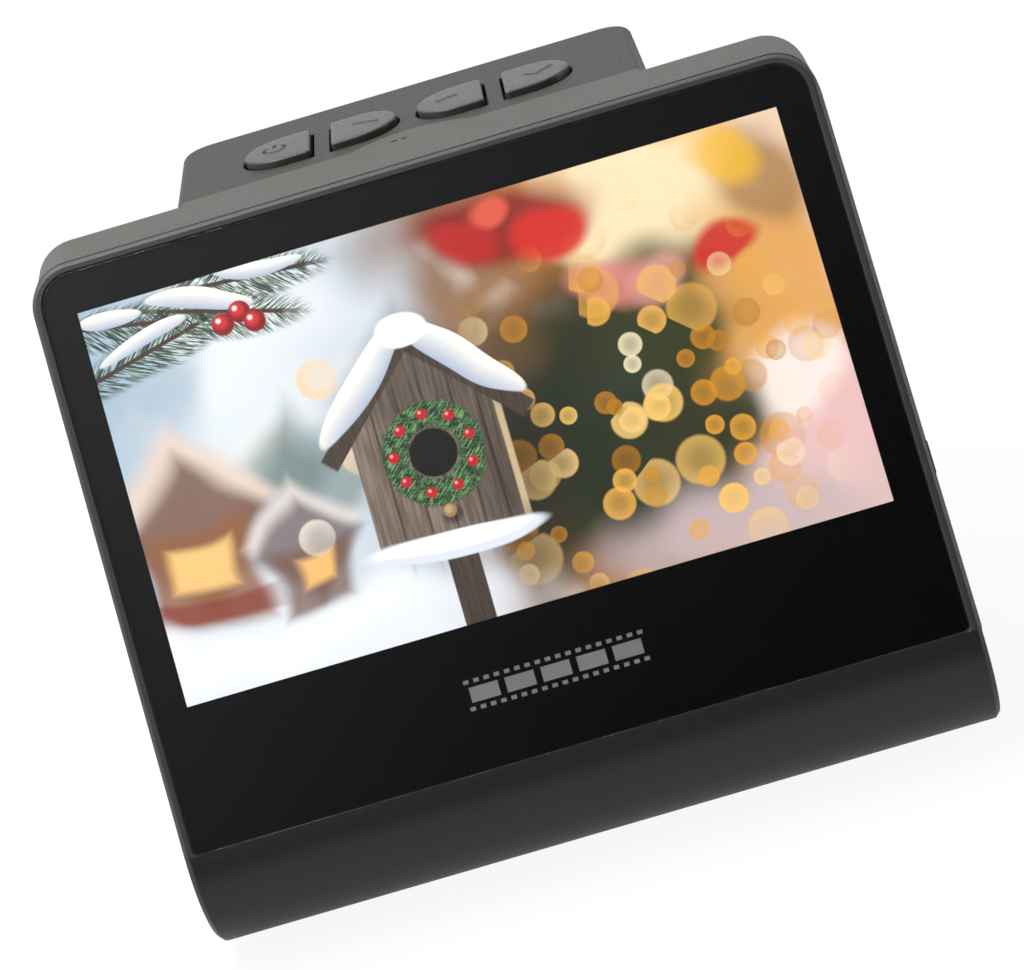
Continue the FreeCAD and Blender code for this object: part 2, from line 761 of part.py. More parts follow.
def make_camera():
    back = Vector(0, 1, 0)
    face_y = board_back_y
    nodes["image_sensor"] = block(-sensor_width / 2, sensor_width / 2, face_y, face_y + sensor_thickness,
                                  gate_z - sensor_height / 2, gate_z + sensor_height / 2)
    holder = block(-holder_side / 2, holder_side / 2, face_y, face_y + holder_depth,
                   gate_z - holder_side / 2, gate_z + holder_side / 2)
    holder = holder.makeFillet(wall / 2, upright_edges(holder, back))
    neck = rod(holder_neck_radius, Vector(0, face_y + holder_depth, gate_z), back, holder_neck)
    cavity = block(-sensor_width / 2 - liner_play, sensor_width / 2 + liner_play, face_y - overrun,
                   face_y + barrel_start, gate_z - sensor_height / 2 - liner_play,
                   gate_z + sensor_height / 2 + liner_play)
    thread_bore = rod(barrel_radius, Vector(0, face_y, gate_z), back,
                      holder_depth + holder_neck + overrun)
    nodes["lens_holder"] = holder.fuse(neck).cut([cavity, thread_bore]).removeSplitter()
    start = Vector(0, face_y + barrel_start, gate_z)
    end_y = face_y + barrel_start + barrel_length
    barrel = rod(barrel_radius, start, back, barrel_length)
    barrel = barrel.cut(rod(barrel_bore, Vector(0, start.y + rear_lens_thickness, gate_z), back,
                            barrel_length))
    barrel = barrel.cut(rod(rear_lens_radius, start, back, barrel_length))
    barrel = barrel.cut(rod(lens_radius, Vector(0, end_y - lens_thickness, gate_z), back,
                            lens_thickness + overrun))
    nodes["lens_barrel"] = barrel
    nodes["rear_lens"] = rod(rear_lens_radius, start, back, rear_lens_thickness)
    sphere_radius = (lens_radius ** 2 + lens_bulge ** 2) / (2 * lens_bulge)
    disc = rod(lens_radius, Vector(0, end_y - lens_thickness, gate_z), back, lens_thickness)
    ball = Part.makeSphere(sphere_radius, Vector(0, end_y - sphere_radius, gate_z))
    nodes["front_lens"] = disc.common(ball)
    make_tunnel(end_y - tunnel_lap)


def make_tunnel(mouth_y):
    """Light tunnel: a tapered square tube from the lens to the film gate."""
    window_y = gate_y - gate_thickness

    def taper(inset):
        near_x = tunnel_mouth_width / 2 - inset
        near_z = tunnel_mouth_height / 2 - inset
        far_x = tunnel_window_width / 2 - inset
        far_z = tunnel_window_height / 2 - inset
        return Part.makeWedge(-near_x, mouth_y, gate_z - near_z, gate_z - far_z, -far_x,
                              near_x, window_y, gate_z + near_z, gate_z + far_z, far_x)

    half_x = tunnel_window_width / 2 + tunnel_flange
    half_z = tunnel_window_height / 2 + tunnel_flange
    flange = block(-half_x, half_x, window_y - tunnel_wall, window_y, gate_z - half_z, gate_z + half_z)
    nodes["light_tunnel"] = taper(0).fuse(flange).cut(taper(tunnel_wall)).removeSplitter()


# Film gate: window plate with rails, magnets and spring contacts


def make_gate():
    side = head_inner - gate_play
    low_z = base_z + wall + door_gap
    plate = block(-side, side, gate_y - gate_thickness, gate_y, low_z, gate_top)
    reach_y = gate_y + rail_reach
    rails = [block(-side, side, gate_y, reach_y, gate_z + film_width / 2,
                   gate_z + film_width / 2 + rail_thickness),
             block(-side, side, gate_y, reach_y, gate_z - film_width / 2 - rail_thickness,
                   gate_z - film_width / 2)]
    towers = both_sides(magnet_block(magnet_wall, gate_y, reach_y))
    frame = joined([plate] + rails + towers)
    window = block(-frame_width / 2, frame_width / 2, gate_y - gate_thickness - overrun,
                   gate_y + overrun, gate_z - frame_height / 2, gate_z + frame_height / 2)
    pockets = both_sides(magnet_block(0, reach_y - magnet_depth, reach_y + overrun))
    nodes["gate_frame"] = frame.cut([window] + pockets)
    nodes["catch_magnets"] = group(both_sides(magnet_block(0, reach_y - magnet_depth, reach_y)))
    contact_front = reach_y - contact_blade_out + rail_play
    nodes["contact_block"] = block(-contact_width / 2, contact_width / 2, gate_y, contact_front,
                                   magnet_z - contact_height / 2, magnet_z + contact_height / 2)
    blades = []
    for x in (-contact_pitch, 0, contact_pitch):
        blades.append(block(x - contact_blade_width / 2, x + contact_blade_width / 2, contact_front,
                            contact_front + contact_blade_out - rail_play,
                            magnet_z - contact_blade_height / 2, magnet_z + contact_blade_height / 2))
    nodes["contact_blades"] = group(blades)


def magnet_block(grow, y0, y1):
    """Block at the right-hand catch magnet's place, grown by a margin."""
    half_x = magnet_width / 2 + grow
    half_z = magnet_height / 2 + grow
    return block(magnet_spread - half_x, magnet_spread + half_x, y0, y1, magnet_z - half_z,
                 magnet_z + half_z)


# Rear door: the back of the head with the lamp unit inside, hinged at its foot


def door_top():
    """Height of the door's level top, low enough to swing out from under the sloping roof."""
    reach = (roof_z(hinge_y, wall) - hinge_z) * cos_slope - door_gap
    return hinge_z + math.sqrt(reach ** 2 - hinge_back ** 2)


def door_outline(inset, x0, x1, y_back):
    """Side outline of the door: a knuckle round the hinge axis, then straight up to the roof."""
    front = split_y + door_gap + inset
    radius = hinge_y - split_y - door_gap - inset
    top = door_top() - inset
    turn = radius * math.sqrt(0.5)
    rise = Vector(x0, front, hinge_z)
    bend = Vector(x0, hinge_y - turn, hinge_z - turn)
    low = Vector(x0, hinge_y, hinge_z - radius)
    low_back = Vector(x0, y_back, hinge_z - radius)
    top_back = Vector(x0, y_back, top)
    top_front = Vector(x0, front, top)
    edges = [Part.Arc(rise, bend, low).toShape(), Part.makeLine(low, low_back),
             Part.makeLine(low_back, top_back), Part.makeLine(top_back, top_front),
             Part.makeLine(top_front, rise)]
    return Part.Face(Part.Wire(edges)).extrude(Vector(x1 - x0, 0, 0))


def liner_low():
    return hinge_z + liner_lift


def liner_post_places():
    x = liner_half - post_side / 2 - liner_wall / 2
    return [(x, liner_low() + post_side / 2), (x, gate_top - post_side / 2)]


def liner_back():
    return liner_front_y + liner_depth


def make_door_cover():
    outer = head_solid().common(door_outline(0, -head_width, head_width, back_y + overrun))
    inner_front = split_y - overrun
    void = door_outline(door_rim, -head_inner, head_inner, back_y - door_skin)
    mouth = block(-head_inner, head_inner, inner_front, split_y + door_gap + door_rim + wall, hinge_z,
                  door_top() - door_rim - wall)
    cover = outer.cut([void, mouth])
    cuts = []
    ear_slot = block(ear_inner - ear_gap, head_inner, split_y - overrun, hinge_y + ear_radius + ear_gap,
                     hinge_z - ear_radius - wall - overrun, hinge_z + ear_radius + ear_gap)
    cuts += both_sides(ear_slot)
    bore = rod(pin_radius + pin_clearance, Vector(head_inner - overrun, hinge_y, hinge_z),
               Vector(1, 0, 0), head_wall + 2 * overrun)
    cuts += both_sides(bore)
    notch_radius = 2 * head_corner
    notch_z = door_top() + notch_radius * math.sqrt(0.5)
    notch = rod(notch_radius, Vector(0, back_y - door_skin / 2, notch_z), Vector(0, 1, 0), overrun)
    cuts.append(notch)
    cover = cover.cut(cuts)
    bosses = []
    for x, z in liner_post_places():
        bosses += both_sides(post(x, z, liner_back(), back_y - door_skin / 2))
    return cover.fuse(bosses).removeSplitter()


def make_door_inside():
    """Liner with its window, diffuser, lamp board and lamps, strike plates and contact pads."""
    low = liner_low()
    liner = block(-liner_half, liner_half, liner_front_y, liner_back(), low, gate_top)
    inside = block(-liner_half + liner_wall, liner_half - liner_wall, liner_front_y + liner_wall,
                   liner_back() + overrun, low + liner_wall, gate_top - liner_wall)
    liner = liner.cut(inside)
    pillars = []
    for x, z in liner_post_places():
        pillars += both_sides(post(x, z, liner_front_y, liner_back()))
    liner = liner.fuse(pillars).removeSplitter()
    window = block(-frame_width / 2 - wall / 2, frame_width / 2 + wall / 2, liner_front_y - overrun,
                   liner_front_y + liner_wall + overrun, gate_z - frame_height / 2 - wall / 2,
                   gate_z + frame_height / 2 + wall / 2)
    strikes = both_sides(magnet_block(0, liner_front_y, liner_front_y + strike_thickness))
    pads = []
    for x in (-contact_pitch, 0, contact_pitch):
        pads.append(block(x - pad_side / 2, x + pad_side / 2, liner_front_y, liner_front_y + pad_thickness,
                          magnet_z - pad_side / 2, magnet_z + pad_side / 2))
    nodes["door_liner"] = liner.cut([window] + strikes + pads)
    nodes["contact_pads"] = group(pads)
    nodes["strike_plates"] = group(strikes)
    glow_half_x = frame_width / 2 + diffuser_margin
    glow_half_z = frame_height / 2 + diffuser_margin
    glow_y = liner_front_y + liner_wall
    nodes["diffuser"] = block(-glow_half_x, glow_half_x, glow_y, glow_y + diffuser_thickness,
                              gate_z - glow_half_z, gate_z + glow_half_z)
    make_lamps(glow_y + diffuser_thickness, glow_half_x, glow_half_z)


def make_lamps(glow_back_y, glow_half_x, glow_half_z):
    """Lamp board on four stand-offs behind the diffuser, with a grid of lamps."""
    face_y = glow_back_y + wall
    half_x = glow_half_x + lamp_board_margin - diffuser_margin
    half_z = glow_half_z + lamp_board_margin - diffuser_margin
    board = block(-half_x, half_x, face_y, face_y + board_thickness, gate_z - half_z, gate_z + half_z)
    lamps = []
    for column in range(lamp_columns):
        for row in range(lamp_rows):
            x = ((column + 0.5) / lamp_columns - 0.5) * frame_width
            z = gate_z + ((row + 0.5) / lamp_rows - 0.5) * frame_height
            lamps.append(block(x - lamp_width / 2, x + lamp_width / 2, face_y - lamp_thickness, face_y,
                               z - lamp_height / 2, z + lamp_height / 2))
    nodes["lamp_board"] = board
    nodes["lamps"] = group(lamps)
    collar = block(-glow_half_x, glow_half_x, glow_back_y, face_y, gate_z - glow_half_z,
                   gate_z + glow_half_z)
    hollow = block(-glow_half_x + liner_wall, glow_half_x - liner_wall, glow_back_y - overrun,
                   face_y + overrun, gate_z - glow_half_z + liner_wall, gate_z + glow_half_z - liner_wall)
    nodes["lamp_collar"] = collar.cut(hollow)


def make_hinge_pins():
    start_x = ear_inner
    length = head_half - pin_radius / 2 - start_x
    pin = rod(pin_radius, Vector(start_x, hinge_y, hinge_z), Vector(1, 0, 0), length)
    nodes["hinge_pins"] = group(both_sides(pin))


# Push buttons on the head, each with its stem, and the board that carries their switches


def make_buttons():
    low = -wall - flange_play
    stem_low = low - flange_thickness - stem_length
    switch_top = stem_low - switch_gap
    board_top_z = switch_top - switch_height

    def square(x, side, z0, z1):
        half = side / 2
        return block(x - half, x + half, button_row - half, button_row + half, z0, z1)

    bodies = []
    for name, x, side in button_places():
        cap = d_shape(x, side, 0, low, button_proud)
        top_edges = [e for e in cap.Edges if e.CenterOfMass.z > button_proud - button_chamfer / 2]
        cap = cap.makeChamfer(button_chamfer, top_edges)
        flange = d_shape(x, side, flange_lip, low - flange_thickness, low)
        stem = square(x, stem_side, stem_low, low - flange_thickness)
        nodes[name + "_button"] = on_head(joined([cap, flange, stem]))
        nodes[name + "_plunger"] = on_head(square(x, plunger_side, stem_low - plunger_length, stem_low))
        body = square(x, switch_side, board_top_z, switch_top)
        well_depth = plunger_length - switch_gap + button_travel + plunger_clearance
        well = square(x, plunger_side + 2 * plunger_clearance, switch_top - well_depth, switch_top)
        bodies.append(on_head(body.cut(well)))
    nodes["switch_bodies"] = group(bodies)
    half = head_inner - button_board_margin
    nodes["button_board"] = on_head(block(-half, half, button_board_near(), button_board_far(),
                                          board_top_z - board_thickness, board_top_z))


nodes["front_shell"] = make_front_shell()
make_screen()
make_display_cable()
nodes["rear_housing"] = make_rear_housing()
nodes["base_plate"] = make_base_plate()
make_feet()
make_base_screws()
make_main_board()
make_usb_socket()
make_card_socket()
make_camera()
make_gate()
nodes["door_cover"] = make_door_cover()
make_door_inside()
make_hinge_pins()
make_buttons()

os.makedirs("parts", exist_ok=True)
whole = Part.makeCompound(list(nodes.values()))
for name, shape in nodes.items():
    shape.exportStep(os.path.join("parts", name + ".step"))
box = whole.BoundBox
print("nodes", len(nodes))
print("box %.2f %.2f %.2f to %.2f %.2f %.2f" % (box.XMin, box.YMin, box.ZMin, box.XMax, box.YMax, box.ZMax))
print("hinge axis y %.3f z %.3f" % (hinge_y, hinge_z))
print("film channel y %.3f to %.3f z %.3f to %.3f" % (gate_y, gate_y + film_thickness,
                                                      gate_z - film_width / 2, gate_z + film_width / 2))
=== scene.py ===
# %% [markdown]
# A film scanner for the desk, dressed for its portrait
#
# The object is a small wedge of dark moulded plastic with a leaning glass front, a lit
# display behind the glass, four push buttons on a narrow head, and a rear door that holds
# the lamps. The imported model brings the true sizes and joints. This script adds what the
# eye wants: softened edges, plastic grain, glass, a glowing picture, a studio and a camera.

# %% Load the frame
import json
import math
import bmesh
import bpy
import numpy as np
from mathutils import Matrix, Vector

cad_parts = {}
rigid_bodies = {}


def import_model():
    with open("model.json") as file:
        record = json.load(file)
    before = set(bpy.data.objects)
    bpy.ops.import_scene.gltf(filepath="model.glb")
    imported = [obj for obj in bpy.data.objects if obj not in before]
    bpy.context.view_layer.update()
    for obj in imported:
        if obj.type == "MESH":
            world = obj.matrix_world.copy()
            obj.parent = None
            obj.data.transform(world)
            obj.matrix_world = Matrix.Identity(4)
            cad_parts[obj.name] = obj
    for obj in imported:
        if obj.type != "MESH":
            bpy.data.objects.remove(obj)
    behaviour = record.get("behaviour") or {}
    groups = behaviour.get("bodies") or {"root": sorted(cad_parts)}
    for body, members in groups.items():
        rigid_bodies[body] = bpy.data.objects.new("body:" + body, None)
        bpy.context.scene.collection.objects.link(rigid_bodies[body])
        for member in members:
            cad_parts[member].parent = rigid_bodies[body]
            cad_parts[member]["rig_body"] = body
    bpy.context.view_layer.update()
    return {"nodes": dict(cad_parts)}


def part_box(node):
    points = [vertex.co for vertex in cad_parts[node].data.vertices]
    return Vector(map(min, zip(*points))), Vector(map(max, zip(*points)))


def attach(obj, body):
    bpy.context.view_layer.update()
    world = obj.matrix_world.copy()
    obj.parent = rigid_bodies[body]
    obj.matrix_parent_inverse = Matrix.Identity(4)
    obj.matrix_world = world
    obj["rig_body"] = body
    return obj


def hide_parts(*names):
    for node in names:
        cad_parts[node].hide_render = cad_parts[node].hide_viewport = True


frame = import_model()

# %% [markdown]
# The camera comes first, so that every later step can be judged in the picture. A camera
# can be placed by eye, or worked out from a few corners of the object. Here its place,
# aim and roll were worked out from the corners of the lit area, which is a true rectangle,
# from the middles of the keys and from points along the edges of the case.
# The long lens keeps the sides of the wedge nearly parallel, as in a catalogue picture.

# %% Camera
MM = 0.001
image_width = 1024                                     # pixels
camera_place = np.array([22.87, -464.23, 253.69])     # mm, before and above the object
camera_down = 24.94                                    # degrees below level
camera_turn = 1.63                                     # degrees round the upright
camera_roll = 17.02                                    # the picture is taken tilted
lens_pixels = 3199.7                                   # focal length in picture pixels
centre_right, centre_low = 74.3, 24.2                  # lens axis from the picture's middle



def new_object(name, data):
    """An object that holds the data, linked to the scene."""
    thing = bpy.data.objects.new(name, data)
    bpy.context.scene.collection.objects.link(thing)
    return thing


camera_data = bpy.data.cameras.new("camera")
camera_data.sensor_width = 36.0
camera_data.lens = lens_pixels / image_width * camera_data.sensor_width
camera_data.shift_x = -centre_right / image_width
camera_data.shift_y = centre_low / image_width
camera_data.clip_start = 0.01
camera = new_object("camera", camera_data)
camera.matrix_world = (Matrix.Translation(Vector(camera_place * MM))
                       @ Matrix.Rotation(math.radians(camera_turn), 4, "Z")
                       @ Matrix.Rotation(math.radians(90 - camera_down), 4, "X")
                       @ Matrix.Rotation(math.radians(-camera_roll), 4, "Z"))
bpy.context.scene.camera = camera
print("lens %.1f mm, shift %.3f %.3f"
      % (camera_data.lens, camera_data.shift_x, camera_data.shift_y))

# %% [markdown]
# Colours are written as they look on a screen, in hex. Blender works with amounts of
# light, so one function turns a hex colour into linear values. A second small function
# adds a shader node, sets it and links it, so that each material reads as a short list.
# The others are the nodes that come back in every material: a sum, a range, a mix of two
# colours, a noise and the physical shader.

# %% Colour and node helpers


def linear(colour):
    """Linear light of an sRGB hex colour: dark values are divided, the rest is a 2.4 power."""
    parts = np.array([int(colour[i:i + 2], 16) for i in (1, 3, 5)]) / 255
    light = np.where(parts <= 0.04045, parts / 12.92, ((parts + 0.055) / 1.055) ** 2.4)
    return (*(float(part) for part in light), 1.0)


def add(tree, kind, inputs=None, **settings):
    """Adds a shader node: settings are its own choices, inputs are values or linked sockets."""
    node = tree.nodes.new(kind)
    for key, value in settings.items():
        setattr(node, key, value)
    for key, value in (inputs or {}).items():
        if isinstance(value, bpy.types.NodeSocket):
            tree.links.new(value, node.inputs[key])
        else:
            node.inputs[key].default_value = value
    return node


def arithmetic(tree, operation, *values):
    """One step of arithmetic on numbers or sockets."""
    return add(tree, "ShaderNodeMath", dict(enumerate(values)), operation=operation).outputs[0]


def ranged(tree, value, low, high, to_low=0.0, to_high=1.0, ease="LINEAR"):
    """A value carried from the range low to high over to another range."""
    return add(tree, "ShaderNodeMapRange", {
        "Value": value, "From Min": low, "From Max": high, "To Min": to_low, "To Max": to_high},
        interpolation_type=ease).outputs[0]


def mixed(tree, share, first, second):
    """A colour between two, each of them a hex colour or a socket."""
    first, second = (linear(one) if isinstance(one, str) else one for one in (first, second))
    return add(tree, "ShaderNodeMix", {0: share, 6: first, 7: second},
               data_type="RGBA").outputs[2]


def noise(tree, point, scale, detail, roughness=0.5):
    """A noise texture that is read at a point."""
    return add(tree, "ShaderNodeTexNoise", {
        "Vector": point, "Scale": scale, "Detail": detail, "Roughness": roughness})


def principled(tree, output, inputs):
    """The physical shader with these inputs, linked to its material's output."""
    shader = add(tree, "ShaderNodeBsdfPrincipled", inputs)
    tree.links.new(shader.outputs[0], output.inputs["Surface"])


def new_material(name):
    """An empty material and its node tree, with only the output left in it."""
    material = bpy.data.materials.new(name)
    material.use_nodes = True
    tree = material.node_tree
    tree.nodes.clear()
    return material, tree, tree.nodes.new("ShaderNodeOutputMaterial")


def per_metre(size_mm):
    """Scale of a noise whose spots are about size_mm across."""
    return 1 / (size_mm * MM)


print("mid grey #808080 is", [round(value, 3) for value in linear("#808080")[:3]])

# %% [markdown]
# Most of the object is ABS, a hard plastic moulded in a spark-eroded steel tool. The tool
# leaves a fine matt grain, and flow marks make the colour drift a little over some
# millimetres. One recipe covers every moulded or coated finish here: two noises for the
# grain and the drift, driven from real sizes in millimetres, and a bump from the grain.

# %% Recipe for moulded and coated surfaces
surface_index, shine_spread = 1.5, 0.08


def surface(name, colour, second, roughness, grain_mm=0.45, drift_mm=6.0, depth_mm=0.02,
            metallic=0.0, stretch=(1.0, 1.0, 1.0), **extra):
    """Noise of the drift size mixes two colours; noise of the grain size moves the rest."""
    material, tree, output = new_material(name)
    place = add(tree, "ShaderNodeTexCoord")
    space = add(tree, "ShaderNodeMapping", {"Vector": place.outputs["Object"], "Scale": stretch})
    drift = noise(tree, space.outputs[0], per_metre(drift_mm), 3.0, 0.6)
    grain = noise(tree, space.outputs[0], per_metre(grain_mm), 2.0, 0.65).outputs["Fac"]
    both = add(tree, "ShaderNodeMix", {0: 0.45, 2: drift.outputs["Fac"], 3: grain})
    tint = mixed(tree, ranged(tree, both.outputs[0], 0.3, 0.7), colour, second)
    shine = ranged(tree, grain, 0.25, 0.75, roughness - shine_spread, roughness + shine_spread)
    bump = add(tree, "ShaderNodeBump", {"Height": grain, "Distance": depth_mm * MM,
                                        "Strength": 1.0})
    principled(tree, output, {
        "Base Color": tint, "Roughness": shine, "Metallic": metallic, "IOR": surface_index,
        "Normal": bump.outputs[0], **extra})
    return material


# ABS of the screen side, dark grey: matt, with a soft sheen where the light grazes it
shell_abs = surface("shell_abs_moulded", "#3f3f3d", "#373735", 0.44, depth_mm=0.02,
                    **{"Specular IOR Level": 0.6})
# ABS of the rear housing, the same grey a step lighter and a little warmer
housing_abs = surface("housing_abs_moulded", "#494844", "#42413d", 0.46, depth_mm=0.016)
# Painted shade: the rolled foot of the screen-side moulding gets a darker copy of its ABS
# where it turns under towards the floor; its grain is finer and shallower
foot_abs_painted_shade = surface("foot_abs_smooth_painted_shade", "#272725", "#222220", 0.42, grain_mm=0.4, depth_mm=0.01)
# Painted shade: the head's top gets a darker copy of the housing's ABS for the shade of its
# slope; it is also rougher, with a coarser and deeper grain
head_abs_painted_shade = surface("head_abs_coarse_painted_shade", "#33322e", "#2d2c28", 0.62, grain_mm=0.55, depth_mm=0.03)
# ABS of the keys: smoother than the case, because fingers and the tool polish them
button_abs = surface("button_abs_moulded", "#3e3d3a", "#383734", 0.38, depth_mm=0.01,
                     **{"Specular IOR Level": 0.55})
# Painted shade: the marks are sunk into the real keys, and this near-black stands in for the
# shadow inside them
mark_painted_shade = surface("mark_painted_shade_black", "#1b1b1a", "#141413", 0.6, **{"Specular IOR Level": 0.2})
# Painted shade: black for the beads in the seam between the two mouldings, standing in for
# the shadow in that seam and for a short dark line on its right side
seam_shade_black = surface("painted_seam_shade_black", "#161616", "#1b1b1b", 0.5, depth_mm=0.004)
# Nitrile rubber of the feet: black, and dull because it scatters nearly all light
rubber = surface("rubber_moulded", "#1c1c1c", "#242423", 0.82, grain_mm=0.6)
# Inner mouldings, black ABS so that no stray light reaches the sensor
liner_abs = surface("liner_abs_black", "#171717", "#1f1f1e", 0.62)
plunger_abs = surface("plunger_abs_black", "#202022", "#2a2a2b", 0.5)
# Opal polycarbonate spreads the lamps' light: milky white, softly glowing through
opal_pc = surface("opal_polycarbonate", "#eeece6", "#e4e2da", 0.42, drift_mm=12.0,
                  **{"Subsurface Weight": 0.25, "Subsurface Radius": (0.003, 0.003, 0.003)})
collar_pc = surface("collar_polycarbonate", "#dddbd3", "#d0cec6", 0.5)
# Zinc-plated steel screws: bright grey metal with a fine blue cast
screw_steel = surface("screw_zinc_plated", "#b9bcc0", "#9c9fa4", 0.3, metallic=1.0, depth_mm=0.006)
# Nickel on magnets and strike plates: a warmer, smoother metal
nickel = surface("nickel_plated", "#c9c5ba", "#b3afa5", 0.22, metallic=1.0, depth_mm=0.004)
# Rolled aluminium of the backlight tray: streaks run along the rolling direction
tray_aluminium = surface("tray_aluminium_rolled", "#c6c8ca", "#aeb0b3", 0.38, metallic=1.0,
                         stretch=(0.08, 1.0, 1.0))
# Gold flash on the spring contacts
contact_gold = surface("contact_gold_flash", "#d9a94a", "#c79236", 0.25, metallic=1.0,
                       depth_mm=0.003)
# Polyimide flat cable: amber film over copper tracks
cable_film = surface("cable_polyimide", "#8a5a20", "#6e4416", 0.35, stretch=(1.0, 0.15, 0.15))
# Glass-epoxy board under green solder mask: the weave shows as a faint square drift
board_epoxy = surface("board_solder_mask", "#14523a", "#0f4230", 0.34, grain_mm=0.5, drift_mm=3.0,
                      **{"Coat Weight": 0.3})
chip_epoxy = surface("chip_epoxy_black", "#1a1a1b", "#222223", 0.55, grain_mm=0.25)
lamp_ceramic = surface("lamp_ceramic_white", "#ecebe5", "#dedcd2", 0.4)
panel_glass = surface("display_rim_glass", "#0b0b0c", "#0e0e10", 0.12, depth_mm=0.0005)
print("surfaces:", len(bpy.data.materials))

# %% [markdown]
# The scanner's lens is real glass with a thin blue-violet coating. Its front glass is a
# plain clear plate. Both could be a mix of shaders; the physical shader with full
# transmission is enough, with the refractive index that is usual for each glass.

# %% Clear glass


def clear_glass(name, colour, roughness, ior, **extra):
    """Light passes through and is only tinted; the mirror part comes from the refractive index."""
    material, tree, output = new_material(name)
    principled(tree, output, {
        "Base Color": linear(colour), "Roughness": roughness, "IOR": ior,
        "Transmission Weight": 1.0, **extra})
    return material


# Soda-lime glass of the front: flat, clear and polished, index 1.5
front_glass = clear_glass("cover_glass_polished", "#ffffff", 0.02, 1.5)
# Crown glass of the lenses with a violet anti-reflex coat
lens_glass = clear_glass("lens_glass_coated", "#eef0ff", 0.0, 1.52,
                         **{"Coat Weight": 0.6, "Coat Tint": linear("#a9a0ff")})
# Black ceramic ink on the back of the glass: deep, even, slightly silky
mask_ink = surface("mask_ink_black", "#070708", "#09090a", 0.6, depth_mm=0.0,
                   **{"Specular IOR Level": 0.05})
# Silver screen-printing ink
print_ink = surface("print_ink_silver", "#b9bab8", "#a9aaa8", 0.5, depth_mm=0.001)
print("clear glass ready")

# %% [markdown]
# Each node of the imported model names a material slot. A table from slot to finish gives
# every carried-over node its material at once, so that nothing is left in plain grey.

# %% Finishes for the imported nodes
finishes = {
    "shell_dark": shell_abs, "housing_grey": housing_abs, "rubber_black": rubber,
    "screw_steel": screw_steel, "screen_glass": front_glass, "mask_black": mask_ink,
    "display_lit": panel_glass, "tray_metal": tray_aluminium, "cable_film": cable_film,
    "board_green": board_epoxy, "chip_black": chip_epoxy, "liner_black": liner_abs,
    "lens_glass": lens_glass, "magnet_nickel": nickel, "contact_gold": contact_gold,
    "diffuser_white": opal_pc, "lamp_white": lamp_ceramic, "collar_white": collar_pc,
    "button_grey": button_abs, "plunger_black": plunger_abs,
}
for node, piece in frame["nodes"].items():
    slot = piece.data.materials[0].name
    piece["slot_name"] = slot
    piece.data.materials.clear()
    piece.data.materials.append(finishes[slot])
print("finished nodes:", len(frame["nodes"]))

# %% [markdown]
# The glass leans and the head's top slopes, so pieces on them are drawn flat and then
# carried over by two small functions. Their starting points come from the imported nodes,
# so a change of the model moves the pieces with it.

# %% The leaning panel and the sloping head
lean = math.radians(29.5)
slope = math.radians(3.2)
glass_gap, glass_sink, glass_thick = 0.15, 0.15, 1.0
glass_low, glass_high = (np.array(corner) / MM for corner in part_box("cover_glass"))
housing_low, housing_high = (np.array(corner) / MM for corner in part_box("rear_housing"))
panel_y = glass_low[1] - glass_gap * math.sin(lean) - glass_sink * math.cos(lean)
panel_z = glass_low[2] - glass_gap * math.cos(lean) + (glass_sink + glass_thick) * math.sin(lean)
glass_width = glass_high[0] - glass_low[0]
glass_height = ((glass_high[2] - panel_z + glass_sink * math.sin(lean)) / math.cos(lean)
                - glass_gap)
head_depth = 32.8
head_y = housing_high[1] - head_depth
head_z = housing_high[2]


def on_panel(across, up, out):
    """Flat drawing to the leaning panel: up runs along the glass, out towards the viewer."""
    across, up, out = np.broadcast_arrays(across, up, out)
    return MM * np.stack([across, panel_y + up * math.sin(lean) - out * math.cos(lean),
                          panel_z + up * math.cos(lean) + out * math.sin(lean)], axis=-1)


def on_head(across, back, out):
    """Flat drawing to the sloping top of the head: back runs away from the viewer, out upwards."""
    across, back, out = np.broadcast_arrays(across, back, out)
    return MM * np.stack([across, head_y + back * math.cos(slope) + out * math.sin(slope),
                          head_z - back * math.sin(slope) + out * math.cos(slope)], axis=-1)


print("panel starts at y %.2f z %.2f, glass %.1f by %.1f mm" % (panel_y, panel_z, glass_width,
                                                                glass_height))

# %% [markdown]
# Every new piece here is a stack of rings: a closed outline, repeated with a change of
# size and height, like the rings of an onion cut in half. One function joins the rings
# with faces and closes both ends. Such a stack could also be drawn by hand and bevelled;
# rings give each rounding its exact radius.

# %% Rings to mesh


def finish_mesh(name, points, faces, material, body, sharp=32.0, outwards=True):
    """Puts points and faces into one mesh, merges doubles, turns faces outwards, shades smooth."""
    mesh = bpy.data.meshes.new(name)
    mesh.from_pydata(points.tolist(), [], faces)
    shape = bmesh.new()
    shape.from_mesh(mesh)
    bmesh.ops.remove_doubles(shape, verts=shape.verts, dist=1e-7)
    if outwards:
        bmesh.ops.recalc_face_normals(shape, faces=shape.faces)
    shape.to_mesh(mesh)
    shape.free()
    mesh.materials.append(material)
    mesh.shade_smooth()
    mesh.set_sharp_from_angle(angle=math.radians(sharp))
    piece = new_object(name, mesh)
    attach(piece, body)
    return piece


def ring_faces(rows, count, start=0):
    """Quads between neighbouring rings of count points, the last point joined to the first."""
    row, step = np.meshgrid(np.arange(rows - 1), np.arange(count), indexing="ij")
    after = (step + 1) % count
    return (start + np.stack([row * count + step, row * count + after, (row + 1) * count + after,
                              (row + 1) * count + step], axis=-1).reshape(-1, 4)).tolist()


def stack(rings):
    """A closed body from rings, by ring, point and coordinate: a fan closes each end."""
    rows, count = rings.shape[:2]
    faces = ring_faces(rows, count)
    middles = rings[[0, -1]].mean(axis=1)
    points = np.concatenate([rings.reshape(-1, 3), middles])
    step = np.arange(count)
    for end, first in ((0, 0), (1, (rows - 1) * count)):
        tip = np.full(count, rows * count + end)
        faces += np.stack([first + step, first + (step + 1) % count, tip], axis=-1).tolist()
    return points, faces


